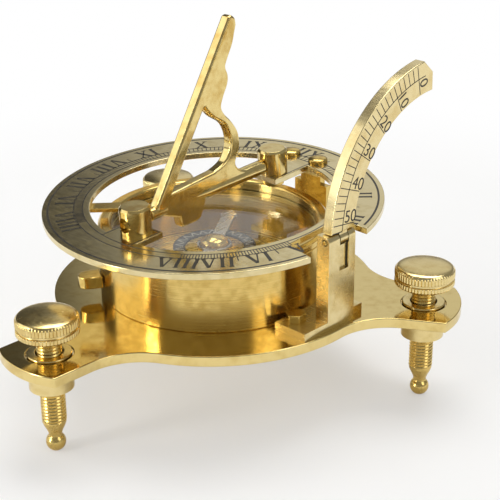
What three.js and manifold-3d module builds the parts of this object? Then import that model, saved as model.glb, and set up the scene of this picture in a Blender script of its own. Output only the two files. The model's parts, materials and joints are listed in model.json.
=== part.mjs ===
// Sundial compass in brass: a compass bowl on a three-armed levelling base, a hinged hour ring
// with a folding gnomon above it, and a latitude arc that stands in a notch of the ring.
// Millimetres. +X is east, +Y is north along the noon line, +Z is up.
// The origin is the middle of the base plate's underside.
import * as THREE from 'three';
import { mergeVertices } from 'three/addons/utils/BufferGeometryUtils.js';
import Module from 'manifold-3d';

const wasm = await Module();
wasm.setup();

// Clearances
const fitGap = 0.3; // round a piece in its hole, and between pieces that turn past each other
const cutMargin = 1; // how far a cutting shape reaches past what it cuts

// Compass bowl
const bowlRadius = 34.2;
const bowlWall = 4.2;
const bowlFloor = 2.5;
const bowlHeight = 18.6; // to the seat of the bezel
const glassSeatWidth = 1.9;
const glassThickness = 1.5;
const bezelHeight = 2.7;
const bezelSetback = 0.3; // bezel's bore outside the bowl's
const bezelChamfer = 0.9;
const roseThickness = 0.8;
const roseRimWidth = 4.5;
const roseHubWidth = 4.4;
const roseRecess = 0.3;
const pivotBaseRadius = 2.6;
const pivotBaseHeight = 1.2;
const pivotShaftRadius = 0.9;
const pivotHeight = 9.8;
const pivotPointHeight = 2.2;
const lugAngle = THREE.MathUtils.degToRad(240);
const lugLength = 6.7;
const lugWidth = 6;
const lugHeight = 3.6;
const lugLift = 3.8; // plate's top to the lug's underside

// Needle assembly
const needleThickness = 0.8;
const needleTipClearance = 3; // arrow's tip to the bowl's wall
const needleTailClearance = 8.4;
const needleHalfWidth = 2;
const arrowHalfWidth = 2.8;
const arrowLength = 4.5;
const needleHeading = THREE.MathUtils.degToRad(34); // turned to the west of north
const needleBossWidth = 0.5; // round the cap's hole
const capRadius = 4.4;
const capFlangeWidth = 0.6;
const capFlangeHeight = 0.6;
const capCrown = 0.7; // over the pivot's point
const capDome = 3.2; // needle's underside to the cap's top
const capRecessWidth = 0.4; // round the pivot
const cardOuterRadius = 12.4;
const cardInnerRadius = 8.8;
const cardThickness = 0.6;

// Hour ring, laid flat in the frame of its hinge
const ringClearance = 2; // bowl's wall to the ring's bore
const ringWidth = 13.8;
const ringThickness = 1.8;
const southTabHalf = 6.3; // of the ring's tabs that carry the gnomon's posts
const northTabHalf = 5.2;
const southTabInset = 0.4; // of the tab's end from the post's side
const northTabInset = 0.1;
const restAngle = THREE.MathUtils.degToRad(222); // of a strip under the ring, from east to the north
const restWidth = 4.4;
const restThickness = 1.2;
const restReach = 8.7; // inside the ring's bore
const restLap = 6; // under the ring
const notchDepthClearance = 3.6; // notch's end to the arc
const notchSouthClearance = 9.5;
const notchNorthClearance = 1.9;
const notchFlare = 2.5;

// Ring hinge
const hingeInset = 6; // ring's outer edge to the hinge axis
const hingeRise = 3.8; // bezel's top to the hinge axis
const hingePinRadius = 1.1;
const knuckleWall = 0.7;
const knuckleHalf = 4.1;
const leafHalfWidth = 9;
const leafThickness = 1.4;
const leafReach = 7.6; // hinge axis to the leaf's inner edge
const bracketThickness = 2.2;
const bracketFootHalf = 6.6;
const bracketBowlClearance = 1.4;
const bracketFootThickness = 2;
const bracketShoulder = 5; // hinge axis to where the upright widens
const hingeScrewInset = 3.9; // hinge axis to the ring's two screws
const hingeScrewSpread = 5.6;

// Screws
const screwShankRadius = 1.1;
const screwHeadRadius = 3;
const screwHeadWall = 0.9;
const screwHeadDome = 0.8;
const bowlScrewInset = 7.4; // bowl's inner wall to the screws
const bowlScrewShank = 1.5;
const bowlScrewHead = 2.8;
const bowlScrewHeadHeight = 1.3;
const bowlScrewCover = 0.9; // floor left over the screw's end
const bowlScrewSink = 0.2; // head's underside above the plate's
const bowlScrewCount = 3;
const bracketScrewInset = 3.4; // foot's inner edge to the screws
const bracketScrewSpread = 3.4;

// Gnomon and its posts
const southPostInset = 6.2; // ring's bore to the post
const northPostInset = 10.6;
const postRadius = 4.5;
const postHeight = 7.7; // over its tab
const postEdge = 0.6;
const postTenonRadius = 1.9;
const nutRadius = 3.4;
const nutHeight = 2;
const nutSides = 6; // also of the screws of the arc's stem
const tenonPastNut = 0.8;
const southTenonDrop = 2.2; // its end below the ring's underside, as the stop that meets the bezel
const gnomonAxis = 3.1; // ring's top face to the gnomon's axis
const gnomonThickness = 3.4;
const gnomonBarRadius = 2.2;
const gnomonPinRadius = 1;
const gnomonPinBite = 5;
const gnomonBarStart = 14; // style's foot to where the bar leaves the plate
const southBossRadius = 1.9;
const southBossLength = 6;
const gnomonPinProud = 1; // of the north post
const gnomonPinRecess = 2.5; // inside the south post
const southMouthRadius = 2.2; // of the south post's hole, as deep as the recess
const styleSetback = 2.3; // boss's south end to the style's foot
const styleRun = 31.7; // style's foot to its tip, going north
const styleRise = 47.5; // bar's top to the style's tip
const styleWidth = 3.6;
const tipRound = [[-0.5, 2.2], [1.3, 4]]; // down the style from its tip, and across it
const styleThroat = [[4.4, 4.8], [12.2, 5.6]];
const styleBump = [15.6, 8.6];
const styleWaist = [23.4, 9.9];
const openingTop = [26.3, 3.9];
const openingNeck = [27.8, 8.6];
const openingShoulder = [28.1, 13.5];
const openingLedge = 2.1; // bar's top to the opening's foot
const openingHeel = [-10.8, 3.2]; // north of the scroll's heel, and over the bar's top
const openingBelly = [[-6.6, 4.7], [-4, 8.4]];
const scrollArm = [[-2.9, 16.6], [-0.1, 9.6], [-2.1, 3.6]];
const scrollHeelSetback = 10.3; // bar's north end to the scroll's heel
const footRise = 2.6; // ring's top face to the plate's south corner
const lobe = [ // north of the style's foot, and over the ring's top face
  [18.6, 0.9], [17.5, -1.6], [16.4, -3.7], [15.2, -4.3], [9, -4.3], [8.4, -3.7], [8, -0.9],
];

// Latitude arc, its stem and its fold
const arcInner = 34.6; // from the ring's hinge axis
const arcOuter = 44;
const arcThickness = 3.4;
const arcInset = 6.1; // ring's outer edge to the arc's middle
const arcSeatRise = 2.9; // ring's hinge axis to the arc's foot
const arcEnd = THREE.MathUtils.degToRad(88);
const arcTipClip = 4;
const stemThickness = 4.5;
const stemFlare = 1.6; // stem's width past the arc, on the south
const stemSlotInset = 4.5;
const stemSlotWidth = 3.8;
const stemSlotLength = 10.8;
const stemSlotDepth = 0.9; // below the tongue's pocket
const tongueRoot = 2; // of the arc's tongue in the arc
const foldPinRadius = 0.7;
const foldPinProud = 0.2;
const foldWall = 0.7;
const footFlange = 2.4;
const footBowlClearance = 0.8;
const flangeLap = 9.6; // south of the stem
const flangeTail = 5.6; // north of it
const flangeTailSetback = 1.6; // from the stem's outer face
const arcScrewInset = 3.4; // flange's inner edge to its screws
const southScrewMargin = 4.9; // flange's ends to its screws
const northScrewMargin = 3.7;
const hexHeadRadius = 2.9;
const hexHeadHeight = 2.4;

// Base plate
const plateThickness = 3.1;
const plateMargin = 13.8; // bowl's wall to the disc's edge
const armHalfWidth = 12.3;
const armEndMargin = 10.9; // foot's middle to the arm's end
const armEndRise = 3.1; // bulge of the arm's end over its corners
const armFillet = 18;
const southArmAngle = -Math.PI / 2;

// Levelling feet
const footCount = 3;
const footClearance = 4.1; // ring's outer edge to a knob
const bushWall = 2.4;
const bushDrop = 6.9; // below the plate's underside
const bushLip = 0.6; // above the plate's top
const threadRadius = 3.5;
const legReach = 27; // plate's underside to the ball's lowest point
const ballRadius = 2.8;
const ballFlatRadius = 1;
const neckRadius = 1.9;
const neckLength = 0.3;
const threadTaper = 4.8;
const knobRadius = 8.7;
const knobLift = 5.4; // plate's top to the knob's underside
const knobBandHeight = 2.5;
const knobGrooveHeight = 0.8;
const knobGrooveDepth = 0.5;
const knobDome = 1.1;
const knobEdge = 0.5;
const knobUnderSetback = 1.8;
const knobUnderRise = 1.1;
const knobBoreCover = 0.8; // knob's shoulder to the end of its bore

// Facets
const wideFacets = 60;
const mediumFacets = 28;
const smallFacets = 16;
const roundSteps = 6; // along a short curve

// Radii and reaches that follow
const bowlBore = bowlRadius - bowlWall;
const glassSeatRadius = bowlBore + glassSeatWidth;
const bezelBore = bowlBore + bezelSetback;
const roseRadius = bowlBore - fitGap;
const bowlScrewCircle = bowlBore - bowlScrewInset;
const ringBore = bowlRadius + ringClearance;
const ringRadius = ringBore + ringWidth;
const hingeReach = ringRadius - hingeInset;
const knuckleRadius = hingePinRadius + fitGap + knuckleWall;
const southPostReach = ringBore - southPostInset;
const northPostReach = ringBore - northPostInset;
const southTabEnd = -southPostReach + postRadius - southTabInset;
const northTabEnd = northPostReach - postRadius + northTabInset;
const arcMiddle = ringRadius - arcInset;
const stemFace = arcMiddle + stemThickness / 2;
const foldRadius = foldPinRadius + fitGap + foldWall;
const foldAxisEast = stemFace - foldRadius;
const plateDiscRadius = bowlRadius + plateMargin;
const footCircle = ringRadius + footClearance + knobRadius;
const bushRadius = threadRadius + fitGap + bushWall;
const bracketFootInner = bowlRadius + bracketBowlClearance;

// Heights that follow
const plateTop = plateThickness;
const floorTop = plateTop + bowlFloor;
const roseTop = floorTop + roseThickness;
const pivotTip = roseTop + pivotHeight;
const bowlTop = plateTop + bowlHeight;
const glassSeat = bowlTop - glassThickness;
const bezelTop = bowlTop + bezelHeight;
const hingeHeight = bezelTop + hingeRise;
const ringLift = knuckleRadius + fitGap; // hinge axis to the ring's underside
const ringTopLift = ringLift + ringThickness;
const gnomonLift = ringTopLift + gnomonAxis;
const leafLow = ringLift - leafThickness;
const arcSeat = hingeHeight + arcSeatRise;
const stemTop = arcSeat - fitGap;
const foldAxisHeight = stemTop - foldRadius;

// The ring hangs down until the south post's tenon meets the bezel: the turn that leaves the fit gap there
const stopReach = hingeReach + southPostReach + postTenonRadius;
const stopLift = ringLift - southTenonDrop;
const ringDroop = Math.acos((fitGap - hingeRise) / Math.hypot(stopLift, stopReach))
  - Math.atan2(stopReach, stopLift);

// Finishes, as read from the photograph
const brass = { color: 0xc8a450, roughness: 0.22, metalness: 1 };
const paleBrass = { color: 0xd2bd84, roughness: 0.32, metalness: 1 };
const goldBrass = { color: 0xb98f35, roughness: 0.2, metalness: 1 };
const blackEnamel = { color: 0x141210, roughness: 0.45, metalness: 0 };
const clearGlass = { color: 0xeef3f2, roughness: 0.03, metalness: 0 };

const compass = new THREE.Group();
const ringFrame = new THREE.Group(); // origin on the ring's hinge axis, drooping with the ring
ringFrame.position.set(0, hingeReach, hingeHeight);
ringFrame.rotation.x = ringDroop;
compass.add(ringFrame);

function addPiece(name, geometry, finish, parent = compass) {
  const mesh = new THREE.Mesh(geometry, new THREE.MeshStandardMaterial(finish));
  mesh.name = name;
  parent.add(mesh);
}

// Closed solids for cutting and joining
function toSolid(geometry) {
  const bare = geometry.clone();
  bare.deleteAttribute('normal');
  bare.deleteAttribute('uv');
  const merged = mergeVertices(bare);
  const vertProperties = new Float32Array(merged.attributes.position.array);
  const triVerts = new Uint32Array(merged.index.array);
  return new wasm.Manifold(new wasm.Mesh({ numProp: 3, vertProperties, triVerts }));
}

function toGeometry(solid) {
  const mesh = solid.getMesh();
  const geometry = new THREE.BufferGeometry();
  geometry.setAttribute('position', new THREE.BufferAttribute(mesh.vertProperties, 3));
  geometry.setIndex(new THREE.BufferAttribute(mesh.triVerts, 1));
  return geometry;
}

function join(...geometries) {
  return toGeometry(geometries.map(toSolid).reduce((whole, next) => whole.add(next)));
}

function cut(geometry, ...tools) {
  return toGeometry(tools.map(toSolid).reduce((rest, tool) => rest.subtract(tool), toSolid(geometry)));
}

// A turned piece about Z from [radius, height] pairs, listed up the outside
function turned(profile, facets) {
  const points = profile.map(([radius, height]) => new THREE.Vector2(radius, height));
  return new THREE.LatheGeometry(points, facets).rotateX(Math.PI / 2);
}

// A turned ring, its profile closed on itself
function turnedRing(outer, inner, low, high, facets) {
  return turned([[inner, low], [outer, low], [outer, high], [inner, high], [inner, low]], facets);
}

function turnedRod(radius, low, high, facets) {
  return turned([[0, low], [radius, low], [radius, high], [0, high]], facets);
}

// A dome's profile from its rim up to the axis, as a quarter of an ellipse
function dome(radius, low, rise) {
  return Array.from({ length: roundSteps + 1 }, (_, i) => {
    const angle = (Math.PI / 2) * (i / roundSteps);
    return [i === roundSteps ? 0 : radius * Math.cos(angle), low + rise * Math.sin(angle)];
  });
}

// A rod along X or Y through the origin's axis
function rodAlongX(radius, west, east, facets) {
  return turnedRod(radius, west, east, facets).rotateY(Math.PI / 2);
}

function rodAlongY(radius, south, north, facets) {
  return turnedRod(radius, -north, -south, facets).rotateX(Math.PI / 2);
}

function block(west, east, south, north, low, high) {
  return new THREE.BoxGeometry(east - west, north - south, high - low)
    .translate((west + east) / 2, (south + north) / 2, (low + high) / 2);
}

// Points along an arc, both ends included
function arcPoints(x, y, radius, from, to, steps) {
  return Array.from({ length: steps + 1 }, (_, i) => {
    const angle = from + ((to - from) * i) / steps;
    return new THREE.Vector2(x + radius * Math.cos(angle), y + radius * Math.sin(angle));
  });
}

function slab(points, low, high, hole) {
  const shape = new THREE.Shape(points);
  if (hole) shape.holes.push(new THREE.Path(hole));
  return new THREE.ExtrudeGeometry(shape, { depth: high - low, bevelEnabled: false }).translate(0, 0, low);
}

// A slab whose outline lies in the north and up plane, from one east value to another
function uprightSlab(points, west, east, hole) {
  return slab(points, west, east, hole).rotateX(Math.PI / 2).rotateZ(Math.PI / 2);
}

// Base plate: a disc with three arms, filleted into it, each with a hole for its bush
function plateOutline() {
  const filletReach = plateDiscRadius + armFillet;
  const filletSide = armHalfWidth + armFillet;
  const filletOut = Math.sqrt(filletReach ** 2 - filletSide ** 2);
  const rootAngle = Math.atan2(filletSide, filletOut);
  const endRadius = (armHalfWidth ** 2 + armEndRise ** 2) / (2 * armEndRise);
  const endAngle = Math.asin(armHalfWidth / endRadius);
  const armReach = footCircle + armEndMargin;
  const armPitch = (2 * Math.PI) / footCount;
  const points = [];
  for (let arm = 0; arm < footCount; arm += 1) {
    const local = [
      ...arcPoints(filletOut, -filletSide, armFillet, Math.PI - rootAngle, Math.PI / 2, roundSteps),
      ...arcPoints(armReach - endRadius, 0, endRadius, -endAngle, endAngle, roundSteps),
      ...arcPoints(filletOut, filletSide, armFillet, -Math.PI / 2, rootAngle - Math.PI, roundSteps),
      ...arcPoints(0, 0, plateDiscRadius, rootAngle, armPitch - rootAngle, roundSteps).slice(1, -1),
    ];
    const turn = southArmAngle + arm * armPitch;
    local.forEach((point) => points.push(point.rotateAround(new THREE.Vector2(), turn)));
  }
  return points;
}

// Places evenly round a circle, the first one in the south
function placesRound(count, radius) {
  return Array.from({ length: count }, (_, i) => {
    const angle = southArmAngle + (i * 2 * Math.PI) / count;
    return [radius * Math.cos(angle), radius * Math.sin(angle)];
  });
}

// The arc's stem under the arc's level foot, its slot, and the flange on both sides of it
const seatAngle = (radius) => Math.asin(arcSeatRise / radius);
const stemNorth = hingeReach - arcInner * Math.cos(seatAngle(arcInner));
const stemSouth = hingeReach - arcOuter * Math.cos(seatAngle(arcOuter)) - stemFlare;
const slotSouth = stemSouth + stemSlotInset;
const slotNorth = slotSouth + stemSlotWidth;
const flangeSouth = stemSouth - flangeLap;
const flangeNorth = stemNorth + flangeTail;
const footInner = bowlRadius + footBowlClearance;

const footPlaces = placesRound(footCount, footCircle);
const bowlScrewPlaces = placesRound(bowlScrewCount, bowlScrewCircle);
const bowlScrewSeat = bowlScrewSink + bowlScrewHeadHeight;
const bracketScrewPlaces = [-bracketScrewSpread, bracketScrewSpread]
  .map((east) => [east, bracketFootInner + bracketScrewInset]);
const arcScrewPlaces = [flangeSouth + southScrewMargin, flangeNorth - northScrewMargin]
  .map((north) => [footInner + arcScrewInset, north]);

function holesAt(places, radius, low, high) {
  return places.map(([x, y]) => turnedRod(radius, low, high, smallFacets).translate(x, y, 0));
}

addPiece('base_plate', cut(
  slab(plateOutline(), 0, plateTop),
  ...holesAt(footPlaces, bushRadius + fitGap, -cutMargin, plateTop + cutMargin),
  ...holesAt(bowlScrewPlaces, bowlScrewHead + fitGap, -cutMargin, bowlScrewSeat),
  ...holesAt(bowlScrewPlaces, bowlScrewShank + fitGap, -cutMargin, plateTop + cutMargin),
  ...holesAt(bracketScrewPlaces, screwShankRadius + fitGap, -cutMargin, plateTop + cutMargin),
  ...holesAt(arcScrewPlaces, screwShankRadius + fitGap, -cutMargin, plateTop + cutMargin),
), brass);

// Levelling feet: bush, threaded leg with a ball end, and knurled knob
const knobLow = plateTop + knobLift;
const knobBands = knobLow + 2 * knobBandHeight + knobGrooveHeight;
const knobBoreTop = knobBands - knobBoreCover;
const legTop = knobBoreTop - fitGap;

function legGeometry() {
  const ballMiddle = -legReach + Math.sqrt(ballRadius ** 2 - ballFlatRadius ** 2);
  const flatAngle = -Math.acos(ballFlatRadius / ballRadius);
  const neckAngle = Math.acos(neckRadius / ballRadius);
  const ball = arcPoints(0, ballMiddle, ballRadius, flatAngle, neckAngle, roundSteps).map((p) => [p.x, p.y]);
  const neckTop = ball[roundSteps][1] + neckLength;
  return turned([
    [0, ball[0][1]], ...ball, [neckRadius, neckTop],
    [threadRadius, neckTop + threadTaper], [threadRadius, legTop], [0, legTop],
  ], smallFacets);
}

function knobGeometry() {
  const grooveLow = knobLow + knobBandHeight;
  const grooveHigh = grooveLow + knobGrooveHeight;
  const groove = knobRadius - knobGrooveDepth;
  const boreRadius = threadRadius + fitGap;
  return turned([
    [0, knobBoreTop], [boreRadius, knobBoreTop], [boreRadius, knobLow],
    [knobRadius - knobUnderSetback, knobLow], [knobRadius, knobLow + knobUnderRise], [knobRadius, grooveLow],
    [groove, grooveLow], [groove, grooveHigh], [knobRadius, grooveHigh],
    [knobRadius, knobBands - knobEdge], ...dome(knobRadius - knobEdge, knobBands, knobDome),
  ], mediumFacets);
}

footPlaces.forEach(([x, y], foot) => {
  const label = foot + 1;
  const bush = turnedRing(bushRadius, threadRadius + fitGap, -bushDrop, plateTop + bushLip, mediumFacets);
  addPiece(`foot_bush_${label}`, bush.translate(x, y, 0), paleBrass);
  addPiece(`foot_screw_${label}`, legGeometry().translate(x, y, 0), brass);
  addPiece(`foot_knob_${label}`, knobGeometry().translate(x, y, 0), paleBrass);
});

// Compass bowl, turned from the solid, with a seat for the glass under the bezel
const bowlScrewEnd = floorTop - bowlScrewCover;
addPiece('compass_bowl', cut(
  turned([
    [0, plateTop], [bowlRadius, plateTop], [bowlRadius, bowlTop], [glassSeatRadius, bowlTop],
    [glassSeatRadius, glassSeat], [bowlBore, glassSeat], [bowlBore, floorTop], [0, floorTop],
  ], wideFacets),
  ...holesAt(bowlScrewPlaces, bowlScrewShank + fitGap, plateTop - cutMargin, bowlScrewEnd + fitGap),
), brass);

addPiece('cover_glass', turnedRod(glassSeatRadius - fitGap, glassSeat, bowlTop, wideFacets), clearGlass);

addPiece('bezel_ring', turned([
  [bezelBore, bowlTop], [bowlRadius, bowlTop], [bowlRadius, bezelTop - bezelChamfer],
  [bowlRadius - bezelChamfer, bezelTop], [bezelBore, bezelTop], [bezelBore, bowlTop],
], wideFacets), brass);

addPiece('rose_plate', turned([
  [0, floorTop], [roseRadius, floorTop], [roseRadius, roseTop], [roseRadius - roseRimWidth, roseTop],
  [roseRadius - roseRimWidth, roseTop - roseRecess], [pivotBaseRadius + roseHubWidth, roseTop - roseRecess],
  [pivotBaseRadius + roseHubWidth, roseTop], [0, roseTop],
], wideFacets), goldBrass);

addPiece('pivot_post', turned([
  [0, roseTop], [pivotBaseRadius, roseTop], [pivotBaseRadius, roseTop + pivotBaseHeight],
  [pivotShaftRadius, roseTop + 2 * pivotBaseHeight], [pivotShaftRadius, pivotTip - pivotPointHeight],
  [0, pivotTip],
], smallFacets), brass);

bowlScrewPlaces.forEach(([x, y], screw) => {
  const geometry = turned([
    [0, bowlScrewSink], [bowlScrewHead, bowlScrewSink], [bowlScrewHead, bowlScrewSeat],
    [bowlScrewShank, bowlScrewSeat], [bowlScrewShank, bowlScrewEnd], [0, bowlScrewEnd],
  ], smallFacets);
  addPiece(`bowl_screw_${screw + 1}`, geometry.translate(x, y, 0), brass);
});

function lugGeometry() {
  const half = lugWidth / 2;
  const root = bowlRadius + fitGap;
  const outline = [
    new THREE.Vector2(root, -half),
    ...arcPoints(root + lugLength - half, 0, half, -Math.PI / 2, Math.PI / 2, roundSteps),
    new THREE.Vector2(root, half),
  ];
  return slab(outline, plateTop + lugLift, plateTop + lugLift + lugHeight).rotateZ(lugAngle);
}
addPiece('side_lug', lugGeometry(), goldBrass);

// Needle: an arrow plate on a domed cap, with a dark ring card under it
const capTop = pivotTip + fitGap + capCrown;
const needleLow = capTop - capDome;
const needleHigh = needleLow + needleThickness;
const capLow = needleLow - capFlangeHeight;

function needleOutline() {
  const tip = bowlBore - needleTipClearance;
  const tail = needleTailClearance - bowlBore;
  const shoulder = tip - arrowLength;
  const bossRadius = capRadius + fitGap + needleBossWidth;
  const side = Math.acos(needleHalfWidth / bossRadius);
  const east = arcPoints(0, 0, bossRadius, -side, side, roundSteps);
  const west = arcPoints(0, 0, bossRadius, Math.PI - side, Math.PI + side, roundSteps);
  return [
    new THREE.Vector2(needleHalfWidth, tail), ...east,
    new THREE.Vector2(needleHalfWidth, shoulder), new THREE.Vector2(arrowHalfWidth, shoulder),
    new THREE.Vector2(0, tip), new THREE.Vector2(-arrowHalfWidth, shoulder),
    new THREE.Vector2(-needleHalfWidth, shoulder), ...west,
    new THREE.Vector2(-needleHalfWidth, tail),
  ];
}

addPiece('compass_needle', cut(
  slab(needleOutline(), needleLow, needleHigh),
  turnedRod(capRadius + fitGap, needleLow - cutMargin, needleHigh + cutMargin, smallFacets),
).rotateZ(needleHeading), paleBrass);

const capFlange = capRadius + capFlangeWidth;
addPiece('needle_cap', turned([
  [0, pivotTip + fitGap], [pivotShaftRadius + capRecessWidth, capLow], [capFlange, capLow],
  [capFlange, needleLow], [capRadius, needleLow], ...dome(capRadius, needleHigh, capTop - needleHigh),
], smallFacets), goldBrass);

addPiece('card_ring', turnedRing(
  cardOuterRadius, cardInnerRadius, needleLow - cardThickness, needleLow, mediumFacets,
), blackEnamel);

// Ring hinge: a bracket on the base plate, a leaf under the ring and a pin through both.
// The leaf reaches into the ring's bore as the north post's tab.
function bracketGeometry() {
  const half = bracketThickness / 2;
  const footTop = plateTop + bracketFootThickness;
  const shoulder = hingeHeight - bracketShoulder;
  const upright = join(
    block(-bracketFootHalf, bracketFootHalf, bracketFootInner, hingeReach + half, plateTop, footTop),
    block(-bracketFootHalf, bracketFootHalf, hingeReach - half, hingeReach + half, plateTop, shoulder),
    block(-knuckleHalf, knuckleHalf, hingeReach - half, hingeReach + half, plateTop, hingeHeight),
    rodAlongX(knuckleRadius, -knuckleHalf, knuckleHalf, smallFacets)
      .translate(0, hingeReach, hingeHeight),
  );
  return cut(
    upright,
    rodAlongX(hingePinRadius + fitGap, -bracketFootHalf, bracketFootHalf, smallFacets)
      .translate(0, hingeReach, hingeHeight),
    ...holesAt(bracketScrewPlaces, screwShankRadius + fitGap, plateTop - cutMargin, footTop + cutMargin),
  );
}
addPiece('ring_hinge_bracket', bracketGeometry(), brass);

const hingeScrewPlaces = [-hingeScrewSpread, hingeScrewSpread].map((east) => [east, -hingeScrewInset]);
const southPostPlace = [0, -southPostReach - hingeReach];
const northPostPlace = [0, northPostReach - hingeReach];

function leafGeometry() {
  const gapHalf = knuckleHalf + fitGap;
  const knuckleGap = knuckleRadius + fitGap;
  const whole = join(
    block(-leafHalfWidth, leafHalfWidth, -leafReach, 0, leafLow, ringLift),
    rodAlongX(knuckleRadius, -leafHalfWidth, leafHalfWidth, smallFacets),
  );
  return cut(
    whole,
    block(-gapHalf, gapHalf, -knuckleGap, knuckleGap, -knuckleGap, ringLift + cutMargin),
    rodAlongX(hingePinRadius + fitGap, -leafHalfWidth - cutMargin, leafHalfWidth + cutMargin, smallFacets),
    ...holesAt(hingeScrewPlaces, screwShankRadius + fitGap, leafLow - cutMargin, ringLift + cutMargin),
  );
}
addPiece('ring_hinge_leaf', leafGeometry(), brass, ringFrame);
addPiece('ring_hinge_pin', rodAlongX(
  hingePinRadius, -leafHalfWidth - fitGap, leafHalfWidth + fitGap, smallFacets,
).translate(0, hingeReach, hingeHeight), goldBrass);

// A screw with a domed head, its head's seat at one height and its end at another
function domedScrew(seat, end) {
  const head = dome(screwHeadRadius, seat + screwHeadWall, screwHeadDome);
  return turned([
    [0, end], [screwShankRadius, end], [screwShankRadius, seat], [screwHeadRadius, seat], ...head,
  ], smallFacets);
}

hingeScrewPlaces.forEach(([x, y], screw) => {
  const geometry = domedScrew(ringTopLift, leafLow).translate(x, y, 0);
  addPiece(`ring_hinge_screw_${screw + 1}`, geometry, goldBrass, ringFrame);
});
bracketScrewPlaces.forEach(([x, y], screw) => {
  const geometry = domedScrew(plateTop + bracketFootThickness, 0).translate(x, y, 0);
  addPiece(`bracket_screw_${screw + 1}`, geometry, goldBrass);
});

// Hour ring with a notch for the latitude arc and a tab for each post
function ringGeometry() {
  const low = ringLift - cutMargin;
  const high = ringTopLift + cutMargin;
  const mouth = ringRadius + cutMargin;
  const tabRoot = ringBore + ringWidth / 2;
  const notchInner = arcMiddle - arcThickness / 2 - notchDepthClearance;
  const notchSouth = hingeReach - arcOuter - notchSouthClearance;
  const notchNorth = hingeReach - arcInner + notchNorthClearance;
  const notch = [
    new THREE.Vector2(notchInner, notchSouth), new THREE.Vector2(mouth, notchSouth - notchFlare),
    new THREE.Vector2(mouth, notchNorth), new THREE.Vector2(notchInner, notchNorth),
  ];
  const flat = join(
    turnedRing(ringRadius, ringBore, ringLift, ringTopLift, wideFacets),
    block(-southTabHalf, southTabHalf, -tabRoot, southTabEnd, ringLift, ringTopLift),
    block(-northTabHalf, northTabHalf, northTabEnd, tabRoot, ringLift, ringTopLift),
  );
  const inRing = ([x, y]) => [x, y + hingeReach];
  const postPlaces = [southPostPlace, northPostPlace].map(inRing);
  const screwPlaces = hingeScrewPlaces.map(inRing);
  return cut(
    flat,
    slab(notch, low, high),
    ...holesAt(postPlaces, postTenonRadius + fitGap, low, high),
    ...holesAt(screwPlaces, screwShankRadius + fitGap, low, high),
  );
}
addPiece('hour_ring', ringGeometry().translate(0, -hingeReach, 0), paleBrass, ringFrame);

// A strip under the ring that reaches in over the bowl's rim
addPiece('rest_strip', block(
  ringBore - restReach, ringBore + restLap, -restWidth / 2, restWidth / 2,
  ringLift - restThickness, ringLift,
).rotateZ(restAngle).translate(0, -hingeReach, 0), brass, ringFrame);

// Gnomon posts: short columns with a cross hole, their tenons through the tabs
function postGeometry(tenonEnd) {
  const top = ringTopLift + postHeight;
  const column = turned([
    [0, tenonEnd], [postTenonRadius, tenonEnd], [postTenonRadius, ringTopLift], [postRadius, ringTopLift],
    [postRadius, top - postEdge], [postRadius - postEdge, top], [0, top],
  ], mediumFacets);
  const reach = postRadius + cutMargin;
  const hole = rodAlongY(gnomonPinRadius + fitGap, -reach, reach, smallFacets);
  return cut(column, hole.translate(0, 0, gnomonLift));
}
const southMouth = rodAlongY(
  southMouthRadius, -postRadius - cutMargin, gnomonPinRecess - postRadius, smallFacets,
).translate(0, 0, gnomonLift);
addPiece('south_post', cut(postGeometry(stopLift), southMouth)
  .translate(...southPostPlace, 0), brass, ringFrame);
const nutLow = ringLift - nutHeight;
addPiece('north_post', postGeometry(nutLow - tenonPastNut)
  .translate(...northPostPlace, 0), brass, ringFrame);
addPiece('north_post_nut', cut(
  turnedRod(nutRadius, nutLow, ringLift, nutSides),
  turnedRod(postTenonRadius + fitGap, nutLow - cutMargin, ringLift + cutMargin, smallFacets),
).translate(...northPostPlace, 0), goldBrass, ringFrame);

// Gnomon: a cast plate along the noon line with an open scroll, and a round bar that leads to the north post
const barSouth = -southPostReach + postRadius + fitGap;
const barNorth = northPostReach - postRadius - fitGap;

function smooth(points) {
  return new THREE.SplineCurve(points).getPoints((points.length - 1) * roundSteps / 2);
}

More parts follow.
